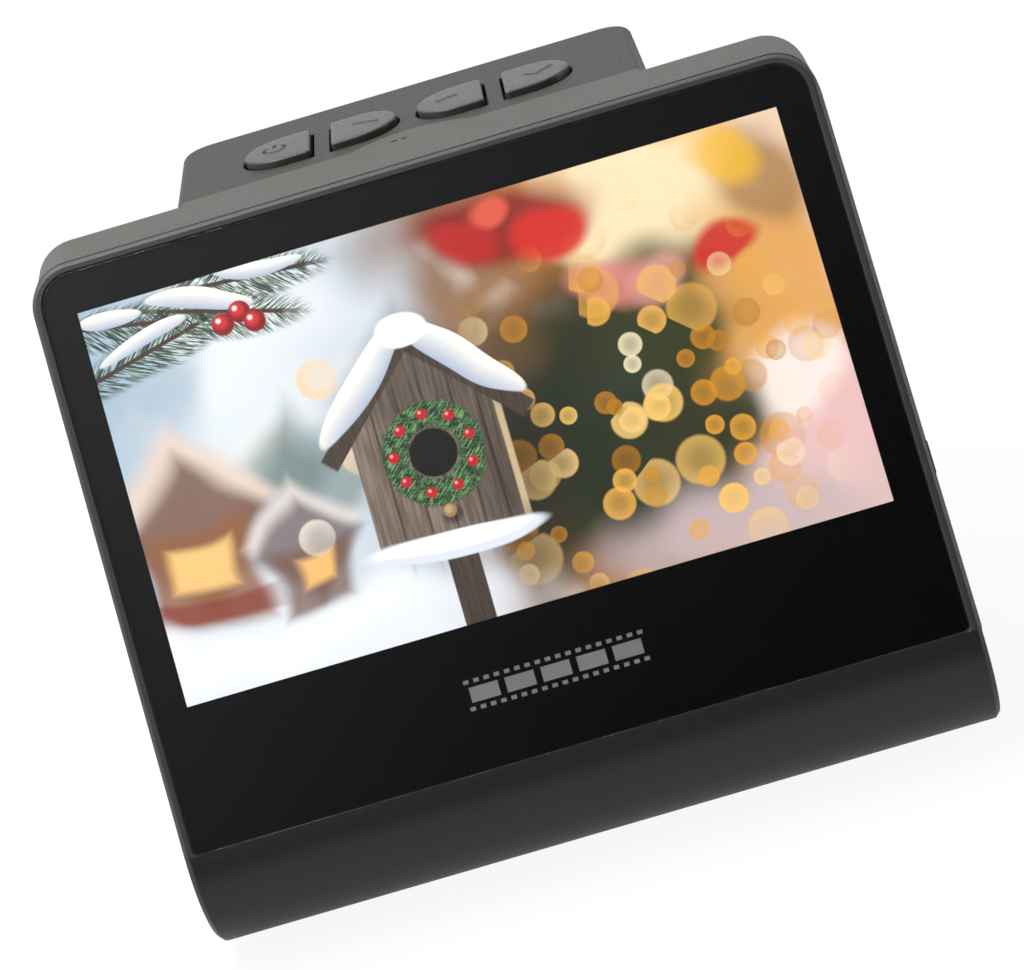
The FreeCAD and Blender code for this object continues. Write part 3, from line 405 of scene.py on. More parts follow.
def rounded_loop(half_x, half_y, radii, grow=0.0, count=9):
    """Rectangle with four corner arcs: each arc's middle plus its radius times (cos, sin)."""
    radii = np.maximum(np.array(radii, dtype=float) + grow, 0.01)
    signs = np.array([(1, 1), (-1, 1), (-1, -1), (1, -1)])
    middles = signs * (np.array([half_x + grow, half_y + grow]) - radii[:, None])
    angles = np.radians(90 * np.arange(4)[:, None] + np.linspace(0, 90, count))
    arcs = np.stack([np.cos(angles), np.sin(angles)], axis=-1)
    return (middles[:, None, :] + radii[:, None, None] * arcs).reshape(-1, 2)


def edge_round(radius, steps=5):
    """Quarter circle from the side wall to the top: (inset, drop) pairs, from the wall upwards."""
    angles = np.radians(np.linspace(0, 90, steps))
    return np.stack([radius * (1 - np.cos(angles)), radius * (1 - np.sin(angles))], axis=-1)


square = np.array([(-1, -1), (1, -1), (1, 1), (-1, 1)])          # corners, as a face goes round
print("a quarter round of 0.4 mm:", edge_round(0.4, 3).round(2).tolist())

# %% [markdown]
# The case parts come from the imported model: two thick mouldings and a door. Their shape
# is right, but a machine-cut edge looks too sharp, because every real moulded edge has a
# small radius that catches the light. A copy of each mesh is merged, its flat triangles
# are joined, and a narrow bevel rounds the edges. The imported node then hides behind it.

# %% Soften the case
merge_reach, flat_limit = 2e-6, 0.6                    # metres, degrees
bevel_steps, sharp_limit = 2, 28.0                     # degrees


def everywhere(ends):
    """The usual choice of edges: every sharp one."""
    return np.ones(len(ends), dtype=bool)


def softened(node, width_mm, wanted=everywhere):
    """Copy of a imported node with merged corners, flat areas joined and narrow round edges.

    An edge is bevelled where it is sharper than the limit and wanted(its ends, in mm) holds.
    """
    source = frame["nodes"][node]
    mesh = source.data.copy()
    mesh.name = node + "_soft"
    shape = bmesh.new()
    shape.from_mesh(mesh)
    bmesh.ops.remove_doubles(shape, verts=shape.verts, dist=merge_reach)
    bmesh.ops.dissolve_limit(shape, angle_limit=math.radians(flat_limit), verts=shape.verts,
                             edges=shape.edges)
    shape.to_mesh(mesh)
    shape.free()
    mesh.shade_smooth()
    mesh.set_sharp_from_angle(angle=math.radians(sharp_limit))
    piece = new_object(node + "_soft", mesh)
    if width_mm:
        sharp = np.zeros(len(mesh.edges), dtype=bool)
        mesh.attributes["sharp_edge"].data.foreach_get("value", sharp)
        pairs = np.zeros(len(mesh.edges) * 2, dtype=np.int32)
        mesh.edges.foreach_get("vertices", pairs)
        corners = np.zeros(len(mesh.vertices) * 3)
        mesh.vertices.foreach_get("co", corners)
        ends = corners.reshape(-1, 3)[pairs.reshape(-1, 2)] / MM
        weights = mesh.attributes.new("bevel_weight_edge", "FLOAT", "EDGE")
        weights.data.foreach_set("value", (sharp & wanted(ends)).astype(np.float32))
        bevel = piece.modifiers.new("edge", "BEVEL")
        bevel.width = width_mm * MM
        bevel.segments = bevel_steps
        bevel.limit_method = "WEIGHT"
        bevel.use_clamp_overlap = False
        bevel.miter_outer = "MITER_ARC"
        even = piece.modifiers.new("even", "WEIGHTED_NORMAL")
        even.keep_sharp = True
    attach(piece, source["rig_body"])
    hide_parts(node)
    return piece


tab_half, tab_back, tab_reach, tab_low = 11.0, 1.8, 2.4, 1.0    # mm, the arc tab and a margin


def away_from_tab(ends):
    """False on the low arc step where the strip runs out over the head: too fine to bevel."""
    middles = ends.mean(axis=1)
    near = ((np.abs(middles[:, 0]) < tab_half)
            & (np.abs(middles[:, 1] - head_y - tab_back) < tab_reach))
    return ~(near & (middles[:, 2] > head_z - tab_low))


pin_middle = np.mean(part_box("hinge_pins"), axis=0)[1:] / MM     # back and up, of the hinge's axis
pin_hole_reach = 2.4                                            # mm from it, holes and a margin


def away_from_pins(ends):
    """False for an edge that touches a pin hole: the holes cut the door's round corner, where a
    bevel folds into spikes."""
    return np.linalg.norm(ends[:, :, 1:] - pin_middle, axis=2).min(axis=1) > pin_hole_reach


front = softened("front_shell", 0.12)
rear = softened("rear_housing", 0.15, wanted=away_from_tab)
door = softened("door_cover", 0.18, wanted=away_from_pins)


def face_middles(piece):
    """Middle of every face of a piece, one row each, in millimetres."""
    middles = np.zeros(len(piece.data.polygons) * 3)
    piece.data.polygons.foreach_get("center", middles)
    return middles.reshape(-1, 3) / MM


def repaint(piece, material, chosen):
    """Gives the chosen faces of a piece a second material."""
    piece.data.materials.append(material)
    piece.data.polygons.foreach_set("material_index", chosen.astype(np.int32))


paint_margin = 0.2
# Painted shade: the head's faces take the darker copy of the housing's ABS
repaint(rear, head_abs_painted_shade, face_middles(rear)[:, 1] > head_y + paint_margin)
# Painted shade: the foot's faces, below the glass, take the darker copy of the shell's ABS
repaint(front, foot_abs_painted_shade, face_middles(front)[:, 2] < panel_z - paint_margin)
for piece in (front, rear, door):
    print(piece.name, "faces before the bevel:", len(piece.data.polygons))

# %% [markdown]
# The keys are D-shaped and stand a good millimetre proud of the head, in two facing pairs.
# Each is a stack of D outlines: up the side wall, round the upper edge and over a top
# that is crowned by a tenth of a millimetre, which keeps a moulded face from looking
# hollow. Below the skin of the head a wider flange keeps the key in.

# %% Keys
key_names, key_sides = ("power", "left", "right", "confirm"), (-1, 1, -1, 1)
key_width, key_half, key_pitch, key_row = 10.8, 6.7, 14.3, 11.6
key_proud, key_crown, key_edge, key_corner = 1.2, 0.1, 0.42, 0.7
key_low, flange_top, flange_lip = -3.0, -2.2, 0.9      # underside and top of the flange, its lip


def centred(count, pitch):
    """Evenly spaced places, with zero in the middle of them."""
    return (np.arange(count) - (count - 1) / 2) * pitch


def key_rings(middle, side):
    """D outlines from the flange's underside up to the crowned top, each grown and lifted."""
    right, left = (key_half, key_corner) if side > 0 else (key_corner, key_half)
    steps = [(flange_lip, key_low, 1.0), (flange_lip, flange_top, 1.0), (0.0, flange_top, 1.0)]
    steps += [(-inset, key_proud - key_crown - drop, 1.0) for inset, drop in edge_round(key_edge)]
    steps += [(-key_edge, key_proud - key_crown * share ** 2, share)
              for share in (0.9, 0.7, 0.45, 0.2)]
    rings = []
    for grow, height, share in steps:
        loop = rounded_loop(key_width / 2, key_half, [right, left, left, right], grow, 10) * share
        rings.append(on_head(middle + loop[:, 0], key_row + loop[:, 1], height))
    return np.array(rings)


key_middles = centred(4, key_pitch)
for name, middle, side in zip(key_names, key_middles, key_sides):
    key = finish_mesh(name + "_key_top", *stack(key_rings(middle, side)), button_abs,
                      name + "_key")
    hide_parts(name + "_button")
    print(key.name, len(key.data.polygons), "faces")

# %% [markdown]
# The cover glass is a plate with a fine ground edge; behind it lies the black printed
# mask with its window, and behind the window the lit display. They are three pieces, a
# hair apart, as in the real stack.

# %% Cover glass, mask and picture sheet
glass_middle = glass_gap + glass_height / 2
glass_clear, glass_edge = 0.05, 0.12                   # mm before the mask, and round the edge
glass_back = glass_sink + glass_thick - glass_clear
glass_radii = [5.0, 5.0, 1.0, 1.0]
view_width, view_height, view_shift = 110.7, 62.3, -0.3
view_middle = glass_gap + 21.8 + view_height / 2       # 21.8 mm of black lie below the lit area
mask_front, mask_back, gap_shade_front = -1.18, -1.285, -0.22
gap_shade_clear, window_corner, mask_inset = 0.01, 0.05, 0.05


def glass_outline(grow):
    """The outline of the glass on the panel, grown by some millimetres."""
    return rounded_loop(glass_width / 2, glass_height / 2, glass_radii, grow) + (0, glass_middle)


def frame_between(name, inner, outer, top, material):
    """Frame between two outlines of equally many points, from the mask's back up to top."""
    rings = np.array([on_panel(*loop.T, out) for loop, out in (
        (inner, mask_back), (outer, mask_back), (outer, top), (inner, top), (inner, mask_back))])
    return finish_mesh(name, rings.reshape(-1, 3), ring_faces(len(rings), len(inner)), material,
                       "scanner")


glass_steps = [(0.0, -glass_back)]
glass_steps += [(-inset, -glass_sink - drop) for inset, drop in edge_round(glass_edge)]
glass_steps += [(-0.3, -glass_sink), (-0.9, -glass_sink)]     # keeps the shading of the face flat
glass_rings = np.array([on_panel(*glass_outline(grow).T, out) for grow, out in glass_steps])
glass = finish_mesh("cover_glass_plate", *stack(glass_rings), front_glass, "scanner")
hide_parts("cover_glass")

window = rounded_loop(view_width / 2, view_height / 2, [window_corner] * 4)
window += (view_shift, view_middle)
mask = frame_between("mask_ring", window, glass_outline(-mask_inset), mask_front, mask_ink)
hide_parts("mask_print")

# Painted shade: black rubber fills the gap round the glass, standing in for the shadow in
# that gap, so that its edge reads as a dark line
gap_shade_fill = frame_between("glass_gap_shade", glass_outline(gap_shade_clear),
                       glass_outline(glass_gap - gap_shade_clear), gap_shade_front, rubber)
print("mask window %.1f by %.1f mm" % (view_width, view_height))

# %% [markdown]
# A display shows a photograph. This one is an invented winter scene, painted from soft
# shapes in shader nodes: a pale street to the left, warm lamps and a dark fir to the
# right, and a nesting box with snow on its roof. An image file would be simpler, but
# shapes have no pixels and stay sharp at any distance. A few small functions do the
# painting: an ellipse, a box, drawn-out noise, and a layer laid over what is there already.

# %% Brushes for the picture
picture_material, paint, picture_output = new_material("display_picture_lit")
sheet_out = -1.292                                     # mm, a hair behind the mask
sheet_place = on_panel(view_shift, view_middle, sheet_out)
canvas_point = add(paint, "ShaderNodeTexCoord")
canvas_point = add(paint, "ShaderNodeMapping", {
    "Vector": canvas_point.outputs["Object"], "Location": sheet_place, "Scale": (MM, MM, MM),
    "Rotation": (math.radians(90) - lean, 0, 0)}, vector_type="TEXTURE").outputs[0]


def number(operation, *values):
    """One step of arithmetic in the picture."""
    return arithmetic(paint, operation, *values)


def vector(operation, *values):
    """One step of vector arithmetic; a dot product gives a number."""
    node = add(paint, "ShaderNodeVectorMath", dict(enumerate(values)), operation=operation)
    return node.outputs["Value" if operation == "DOT_PRODUCT" else "Vector"]


# The renderer gives a shader only a small store for values in flight, and it fills when
# points, vectors and colours are turned into each other. So points feed only textures,
# vectors only arithmetic, and this is the one place where one becomes the other.
canvas = vector("ADD", canvas_point, (0, 0, 0))
ripple = noise(paint, canvas_point, 0.09, 0.0)
ripple = add(paint, "ShaderNodeSeparateColor", {0: ripple.outputs["Color"]})
ripple = add(paint, "ShaderNodeCombineXYZ", {
    0: ripple.outputs[0], 1: ripple.outputs[1], 2: 0.5}).outputs[0]
ripple = vector("SUBTRACT", ripple, (0.5, 0.5, 0.5))


def warped(amount):
    """Canvas position pushed about by a slow noise, amount in millimetres."""
    return vector("ADD", canvas, vector("MULTIPLY", ripple, (2 * amount, 2 * amount, 0)))


def local(where, middle, radii, turn):
    """Distance from middle along and across the turned axes, in radii: two dot products."""
    away = vector("SUBTRACT", where, (*middle, 0))
    cos, sin = math.cos(math.radians(turn)), math.sin(math.radians(turn))
    return (vector("DOT_PRODUCT", away, (cos / radii[0], sin / radii[0], 0)),
            vector("DOT_PRODUCT", away, (-sin / radii[1], cos / radii[1], 0)))


def length(x, y):
    """Root of x squared plus y squared."""
    return number("SQRT", number("MULTIPLY_ADD", x, x, number("MULTIPLY", y, y)))


def fall_off(reach, soft):
    """1 inside reach 1, 0 outside, eased over soft on both sides."""
    return ranged(paint, reach, 1 + soft, 1 - soft, ease="SMOOTHSTEP")


def ellipse(where, middle, radii, turn=0, soft=0.05):
    """Mask of an ellipse: the distance from the middle in radii, eased at 1."""
    return fall_off(length(*local(where, middle, radii, turn)), soft)


def box(where, middle, half, turn=0, soft=0.05):
    """Mask of a box: the larger of the two distances from its middle, eased at 1."""
    x, y = local(where, middle, half, turn)
    return fall_off(number("MAXIMUM", number("ABSOLUTE", x), number("ABSOLUTE", y)), soft)


def product(*masks):
    """Masks and numbers multiplied together."""
    result = masks[0]
    for mask in masks[1:]:
        result = number("MULTIPLY", result, mask)
    return result


def lay(under, colour, mask):
    """Colour laid over what is there, as strong as the mask."""
    return mixed(paint, mask, under, colour)


def lay_shapes(under, rows):
    """Shapes in turn: brush, where, middle, half sizes, turn, softness, colour, strength."""
    for brush, where, middle, halves, turn, soft, tone, *strength in rows:
        under = lay(under, tone, product(brush(where, middle, halves, turn, soft), *strength))
    return under


def on_grid(offset, size, turn):
    """Canvas point measured from offset, turned back, in units of size: the input of a texture."""
    return add(paint, "ShaderNodeMapping", {
        "Vector": canvas_point, "Location": (*offset, 0), "Rotation": (0, 0, math.radians(turn)),
        "Scale": (*size, 1)}, vector_type="TEXTURE").outputs[0]


def streaks(turn, wide_mm, long_mm, low, high):
    """Noise drawn out along one direction, cut off between low and high."""
    drawn_out = noise(paint, on_grid((0, 0), (wide_mm, long_mm), turn), 1.0, 2.0)
    return ranged(paint, drawn_out.outputs["Fac"], low, high)


def colour_run(value, stops):
    """Colours along a 0 to 1 value: pairs of place and hex colour."""
    ramp = add(paint, "ShaderNodeValToRGB", {"Fac": value})
    bar = ramp.color_ramp
    bar.interpolation = "EASE"
    while len(bar.elements) < len(stops):
        bar.elements.new(0.5)
    for element, (place, colour) in zip(bar.elements, stops):
        element.position = place
        element.color = linear(colour)
    return ramp.outputs["Color"]


print("canvas is centred at", [round(value / MM, 2) for value in sheet_place], "mm")

# %% [markdown]
# Far things lose their edges and keep only colour. The background is one wide run of
# colour from cold blue to warm yellow, and then soft boxes and ellipses: market huts with
# snow on their roofs to the left, a dark fir and bright stalls to the right.

# %% Background of the picture: pale street, huts, fir, warm stalls
wide = warped(7.0)
near = warped(2.5)
across = ranged(paint, vector("DOT_PRODUCT", wide, (1, 0, 0)), -56.0, 56.0)
colour = colour_run(across, [
    (0.0, "#b9cfdf"), (0.16, "#eaf1f6"), (0.36, "#ccd6e0"), (0.5, "#98775c"), (0.64, "#c07f38"),
    (0.82, "#eeb45f"), (1.0, "#f2d2b4")])
blotch = noise(paint, canvas_point, 0.07, 2.0)
colour = lay(colour, "#fffaf2", ranged(paint, blotch.outputs["Fac"], 0.52, 0.72, 0.0, 0.6))
far_shapes = [      # brush, where, middle, half sizes, turn, softness, colour, strength
    (ellipse, wide, (-26, 20), (12, 9), 0, 0.7, "#f7fbff", 0.7),
    (ellipse, wide, (-49, 22), (7, 16), 8, 0.7, "#9fb9cd", 0.6),
    (ellipse, wide, (-38, -29), (34, 9), -3, 0.45, "#f1f5fb", 0.95),
    (box, near, (-30, 1), (6, 6), 45, 0.35, "#5f7d78", 0.55),
    (box, near, (-30, -6), (8.5, 8.5), 45, 0.3, "#56736c", 0.6),
    (box, near, (-47, -3), (9.5, 9.5), 45, 0.22, "#efd9c8", 0.9),
    (box, near, (-47, -6), (8.6, 8.6), 45, 0.2, "#6a3f2c", 0.85),
    (box, near, (-47, -12.5), (8.2, 7.5), 0, 0.2, "#96623f", 0.9),
    (box, near, (-47, -11), (4.6, 3.2), 0, 0.3, "#ffd083", 0.95),
    (box, near, (-47, -17.5), (9.4, 1.6), 0, 0.4, "#8c2f2a", 0.7),
    (box, near, (-31, -10.5), (6.4, 6.4), 45, 0.25, "#f2e9e4", 0.85),
    (box, near, (-31, -12.5), (5.8, 5.8), 45, 0.25, "#5c4a55", 0.8),
    (box, near, (-31, -17), (5.6, 4.6), 0, 0.25, "#7a5a4c", 0.85),
    (box, near, (-31, -16), (2.6, 2.0), 0, 0.4, "#ffc877", 0.95),
    (ellipse, wide, (-40, -25), (26, 5), -3, 0.4, "#f8fafe", 0.9),
    (ellipse, wide, (22, -6), (20, 24), 8, 0.45, "#152a17", 0.97),
    (ellipse, wide, (8, -12), (12, 17), -6, 0.45, "#202c19", 0.92),
    (ellipse, wide, (30, 8), (11, 13), 10, 0.5, "#333a1c", 0.85),
    (ellipse, wide, (40, -26), (24, 9), 4, 0.5, "#cdb9bb", 0.9),
    (ellipse, wide, (32, 24), (17, 10), -8, 0.35, "#ffeabf", 0.97),
    (ellipse, wide, (50, 2), (9, 19), 6, 0.5, "#e5a552", 0.9),
    (ellipse, near, (50, 22), (6, 8), 30, 0.45, "#9c6a25", 0.75),
    (ellipse, near, (45, 27), (5, 4), -20, 0.4, "#f5bd2c", 0.8),
    (ellipse, wide, (52, -18), (10, 10), 0, 0.45, "#efc3c2", 0.92),
    (ellipse, near, (47, -9), (7, 6), 25, 0.4, "#fff1ea", 0.9),
    (ellipse, near, (10, 26), (13, 6), -6, 0.35, "#8e1216", 0.95),
    (ellipse, near, (17, 23), (6, 4.5), 10, 0.3, "#d92a20", 0.95),
    (ellipse, near, (4, 25), (5, 3.6), -10, 0.35, "#c3221f", 0.85),
    (ellipse, near, (9, 29), (3.2, 2.6), 0, 0.35, "#f0674f", 0.8),
    (ellipse, near, (42, 13), (5, 3.4), 20, 0.3, "#cf1f22", 0.92),
    (ellipse, near, (23, 13), (6, 3.4), -14, 0.4, "#e48a83", 0.8),
    (ellipse, near, (31, 11), (4.5, 3), 10, 0.4, "#f0a79b", 0.7),
]
colour = lay_shapes(colour, far_shapes)
print("far shapes:", len(far_shapes))

# %% [markdown]
# A lens turns each far lamp into a disc. A cell noise gives every cell one disc with its
# own size, tone and strength. Drawing discs one by one would need a long list; four such
# fields over each other let discs overlap as real ones do.

# %% Lamps out of focus
fir_zone = ellipse(wide, (22, -8), (27, 25), 10, 0.35)
street_zone = ellipse(canvas, (-37, 4), (18, 20), 0, 0.4)


def lamps_out_of_focus(under, cell_mm, offset, zone, share, stops, amount):
    """Discs round the nearest cell points, their rims a little brighter than their middles."""
    cells = add(paint, "ShaderNodeTexVoronoi", {
        "Vector": on_grid(offset, (cell_mm, cell_mm), 17), "Scale": 1.0, "Randomness": 0.72},
        voronoi_dimensions="2D")
    chance = add(paint, "ShaderNodeSeparateColor", {0: cells.outputs["Color"]})
    size = ranged(paint, chance.outputs[2], 0.0, 1.0, 0.2, 0.38)
    reach = number("DIVIDE", cells.outputs["Distance"], size)
    rim = ranged(paint, reach, 0.3, 1.0, 0.62, 1.0)
    there = number("LESS_THAN", chance.outputs[0], share)
    mask = product(fall_off(reach, 0.09), rim, there, zone, amount)
    return lay(under, colour_run(chance.outputs[1], stops), mask)


gold = [(0.0, "#b97a14"), (0.35, "#eda72f"), (0.7, "#ffcf70"), (1.0, "#fff0c8")]
dusk = [(0.0, "#ffd9a0"), (0.5, "#fff2dc"), (1.0, "#f2faf6")]
for cell_mm, offset, amount in ((10.5, (1.0, 2.0), 0.6), (8.2, (4.3, 7.7), 0.8),
                                (6.0, (9.1, 3.4), 0.85)):
    colour = lamps_out_of_focus(colour, cell_mm, offset, fir_zone, 0.58, gold, amount)
colour = lamps_out_of_focus(colour, 13.0, (3.0, 5.0), street_zone, 0.4, dusk, 0.9)
print("lamp fields: 4")

# %% [markdown]
# Fir twigs reach in along the upper edge. Needles stand at an angle to their stem, on each
# side the other way, so noise is drawn out along those two directions and cut off where it
# is low. Lumps of snow lie on top, and three berries give the cold half a warm accent.

# %% Fir twigs with snow and berries


def fir_twig(under, middle, halves, turn):
    """Needles at 38 degrees to the stem, lighter ones at 32 on top of them, the stem last."""
    zone = ellipse(warped(1.2), middle, halves, turn, 0.22)
    side = number("GREATER_THAN", local(canvas, middle, (1, 1), turn)[1], 0.0)
    needles = []
    for apart, *cut in ((52, 0.3, 4.0, 0.46, 0.53), (58, 0.26, 3.2, 0.54, 0.6)):
        needles.append(add(paint, "ShaderNodeMix", {
            0: side, 2: streaks(turn + apart, *cut), 3: streaks(turn - apart, *cut)}).outputs[0])
    under = lay(under, "#1d3325", product(zone, needles[0], 0.95))
    under = lay(under, "#6d9070", product(zone, needles[1], 0.9))
    return lay(under, "#4b3728", box(canvas, middle, (halves[0] * 0.94, 0.32), turn, 0.3))


def snow_lump(under, middle, halves, turn):
    """White ellipse with a ragged outline, blue-grey along its lower side."""
    x, y = local(warped(1.6), middle, halves, turn)
    tone = mixed(paint, ranged(paint, y, -0.9, 0.5), "#b7c4d8", "#fffdf6")
    return lay(under, tone, fall_off(length(x, y), 0.04))


for middle, halves, turn in (((-46, 22.5), (13, 3.6), 14), ((-35, 25.5), (13, 3.8), -16),
                             ((-50, 27.5), (9, 3.4), -10), ((-29, 29.2), (12, 3.2), -4)):
    colour = fir_twig(colour, middle, halves, turn)
for middle, halves, turn in (((-47, 24.6), (7.5, 1.3), 14), ((-37, 28.3), (8.5, 1.5), -14),
                             ((-27, 30.6), (7, 1.2), -4), ((-51, 29.6), (5, 1.3), -8)):
    colour = snow_lump(colour, middle, halves, turn)
for x, y in ((-31.5, 24.4), (-34.4, 23.2), (-29.6, 22.4)):
    colour = lay_shapes(colour, [
        (ellipse, canvas, (x, y), (1.7, 1.7), 0, 0.08, "#8f1219"),
        (ellipse, canvas, (x - 0.3, y + 0.4), (1.1, 1.1), 0, 0.4, "#d43036"),
        (ellipse, canvas, (x - 0.6, y + 0.7), (0.4, 0.4), 0, 0.5, "#ffffff", 0.8)])
print("twigs done, nodes:", len(paint.nodes))

# %% [markdown]
# The subject in focus is a nesting box of weathered boards, on a post, with a wreath round
# its hole. Boards are boxes filled with a long thin noise for the wood grain. Each thing
# is laid over the last from back to front, just as a painter would do.

# %% Nesting box in focus
house_x, hole_y = -9.0, -4.6
grain = streaks(0, 0.5, 9.0, 0.35, 0.65)
wood = mixed(paint, grain, "#6b5c50", "#8f8174")
dark_wood = mixed(paint, grain, "#3d332c", "#54483e")
joints = [(box, canvas, (house_x + plank, -5.5), (0.22, 12.5), 0, 0.5, "#3a3029", 0.75)
          for plank in (-7.6, -3.4, 0.6, 4.9, 8.6)]
colour = lay_shapes(colour, [
    (box, canvas, (house_x, -25), (2.4, 8.0), 0, 0.04, dark_wood),
    (box, canvas, (house_x, 1.5), (8.3, 8.3), 45, 0.02, wood),
    (box, canvas, (house_x, -8.2), (11.7, 9.8), 0, 0.014, wood),
    *joints,
    (ellipse, canvas, (house_x + 11.5, -9), (7, 14), 0, 0.7, "#221b16", 0.6),
    (box, canvas, (house_x + 11.3, -8.2), (0.5, 9.6), 0, 0.4, "#ffe2b0", 0.6),
    (box, canvas, (house_x, 7.2), (8.6, 8.6), 45, 0.25, "#1e1712", 0.4)])
wreath = length(*local(warped(0.5), (house_x, hole_y), (6.0, 6.0), 0))
wreath = number("DIVIDE", number("ABSOLUTE", number("SUBTRACT", wreath, 1.0)), 0.26)
wreath = number("MULTIPLY_ADD", streaks(20, 0.4, 1.2, 0.3, 0.7), -0.5, wreath)
wreath = fall_off(wreath, 0.2)
colour = lay(colour, "#16120f", ellipse(canvas, (house_x, hole_y), (3.7, 3.7), 0, 0.04))
colour = lay(colour, "#17301d", product(wreath, 0.97))
for turn, tone in ((15, "#335c38"), (75, "#4f7f4d"), (135, "#84ab78")):
    colour = lay(colour, tone, product(wreath, streaks(turn, 0.24, 1.7, 0.52, 0.6), 0.85))
for count in range(9):
    angle = math.radians(40 * count + 12)
    x, y = house_x + 6.1 * math.cos(angle), hole_y + 6.1 * math.sin(angle)
    colour = lay_shapes(colour, [
        (ellipse, canvas, (x, y), (0.85, 0.85), 0, 0.12, "#c5202b"),
        (ellipse, canvas, (x - 0.25, y + 0.3), (0.25, 0.25), 0, 0.5, "#ffb0a8")])
colour = lay_shapes(colour, [
    (ellipse, canvas, (house_x + 0.3, -14.4), (1.5, 1.3), 0, 0.4, "#2b211b", 0.7),
    (ellipse, canvas, (house_x, -13.7), (1.05, 1.05), 0, 0.08, "#a5825c"),
    (ellipse, canvas, (house_x - 0.15, -13.5), (0.6, 0.6), 0, 0.4, "#c7a67c")])
for side in (-1, 1):
    board = box(canvas, (house_x + side * 7.6, 5.9), (11.6, 1.5), -side * 45, 0.03)
    colour = lay(colour, dark_wood, board)
    colour = snow_lump(colour, (house_x + side * 7.4, 8.6), (11.4, 2.5), -side * 45)
colour = lay(colour, "#fffdf8", ellipse(warped(1.0), (house_x, 14.6), (4.2, 2.8), 0, 0.08))
colour = lay(colour, "#e6edf6", ellipse(warped(1.5), (house_x, -18.6), (13.6, 2.2), 0, 0.08))
colour = lay(colour, "#ffffff", ellipse(warped(1.5), (house_x - 1, -17.9), (12.4, 1.5), 0, 0.2))
print("picture nodes:", len(paint.nodes))

# %% [markdown]
# The backlight sends the painted colour out as light. A real backlight sits behind the
# panel; here the sheet itself shines, which gives the same picture with less noise. Its
# strength is a little above one, because the cover glass keeps back about a tenth.

# %% Light up the picture
principled(paint, picture_output, {
    "Base Color": linear("#050505"), "Roughness": 0.5, "Emission Color": colour,
    "Emission Strength": 1.12})
picture_material.cycles.emission_sampling = "NONE"
sheet_margin = 0.1                                     # mm, the sheet's reach under the mask
sheet_half = np.array([view_width, view_height]) / 2 + sheet_margin
corners = square * sheet_half + (view_shift, view_middle)
sheet = finish_mesh("display_picture", on_panel(*corners.T, sheet_out), [[0, 1, 2, 3]],
                    picture_material, "scanner", outwards=False)
print("sheet faces", [round(value, 2) for value in sheet.data.polygons[0].normal])

# %% [markdown]
# The inner parts show through the open door, the side slots and the sockets. They get
# the same softening, with a bevel as narrow as each part's own edge would be.

# %% Soften the smaller parts
small_parts = {
    "base_plate": 0.2, "rubber_feet": 0.4, "gate_frame": 0.15, "door_liner": 0.2,
    "catch_magnets": 0.2, "strike_plates": 0.15, "hinge_pins": 0.0, "usb_socket": 0.06,
    "usb_tongue": 0.06, "card_socket": 0.06, "diffuser": 0.2, "lamp_collar": 0.2,
    "light_tunnel": 0.1, "lens_holder": 0.2, "lens_barrel": 0.12, "board_chips": 0.12,
    "switch_bodies": 0.12, "main_board": 0.08, "socket_board": 0.08, "button_board": 0.08,
    "contact_block": 0.12, "contact_blades": 0.05, "contact_pads": 0.05, "display_panel": 0.0,
    "front_lens": 0.0, "rear_lens": 0.0, "display_cable": 0.0, "lamp_board": 0.08,
}
for node, width in small_parts.items():
    softened(node, width)
print("softened parts:", len(small_parts))

# %% [markdown]
# Marks on the keys say what they do: a power mark, two slanting lines for back and
# forth, and a tick. Each is a shallow bead that follows a flat path: across the path the
# section is half a circle, and at both ends it runs out to a point. A real mark is pressed
# in, which raises a soft lip on the near side, so each dark bead gets a second, lower one
# of the key's own plastic. The dark bead's near-black is painted shade, standing in for the
# shadow inside the pressed-in mark. Marks without letters are understood everywhere.

# %% Marks on the keys


def bead(path, width, height, place, low, section=7):
    """Half-round bead along a path: half the width times cos across, height times sin up."""
    path = np.asarray(path, dtype=float)
    run = np.gradient(path, axis=0)
    run /= np.linalg.norm(run, axis=1, keepdims=True)
    across = np.stack([-run[:, 1], run[:, 0]], axis=-1)
    length = np.concatenate([[0], np.cumsum(np.linalg.norm(np.diff(path, axis=0), axis=1))])
    to_end = np.minimum(length, length[-1] - length)
    swell = np.sqrt(np.clip(1 - (1 - np.clip(to_end / (width / 2), 0, 1)) ** 2, 0.0004, 1))
    angles = np.linspace(0, np.pi, section)
    flat = (path[:, None, :] + across[:, None, :] * (np.cos(angles) * width / 2)[None, :, None]
            * swell[:, None, None])
    out = low + height * np.sin(angles)[None, :] * swell[:, None]
    return stack(place(flat[..., 0], flat[..., 1], out))


def line(start, end, count=24):
    """Points on a straight run from start to end."""
    return np.linspace(start, end, count)


def arc(middle, radius, first, last, count=40):
    """Points on a circle from the first angle to the last, in degrees."""
    angles = np.radians(np.linspace(first, last, count))
    return np.stack([middle[0] + radius * np.cos(angles), middle[1] + radius * np.sin(angles)],
                    axis=-1)


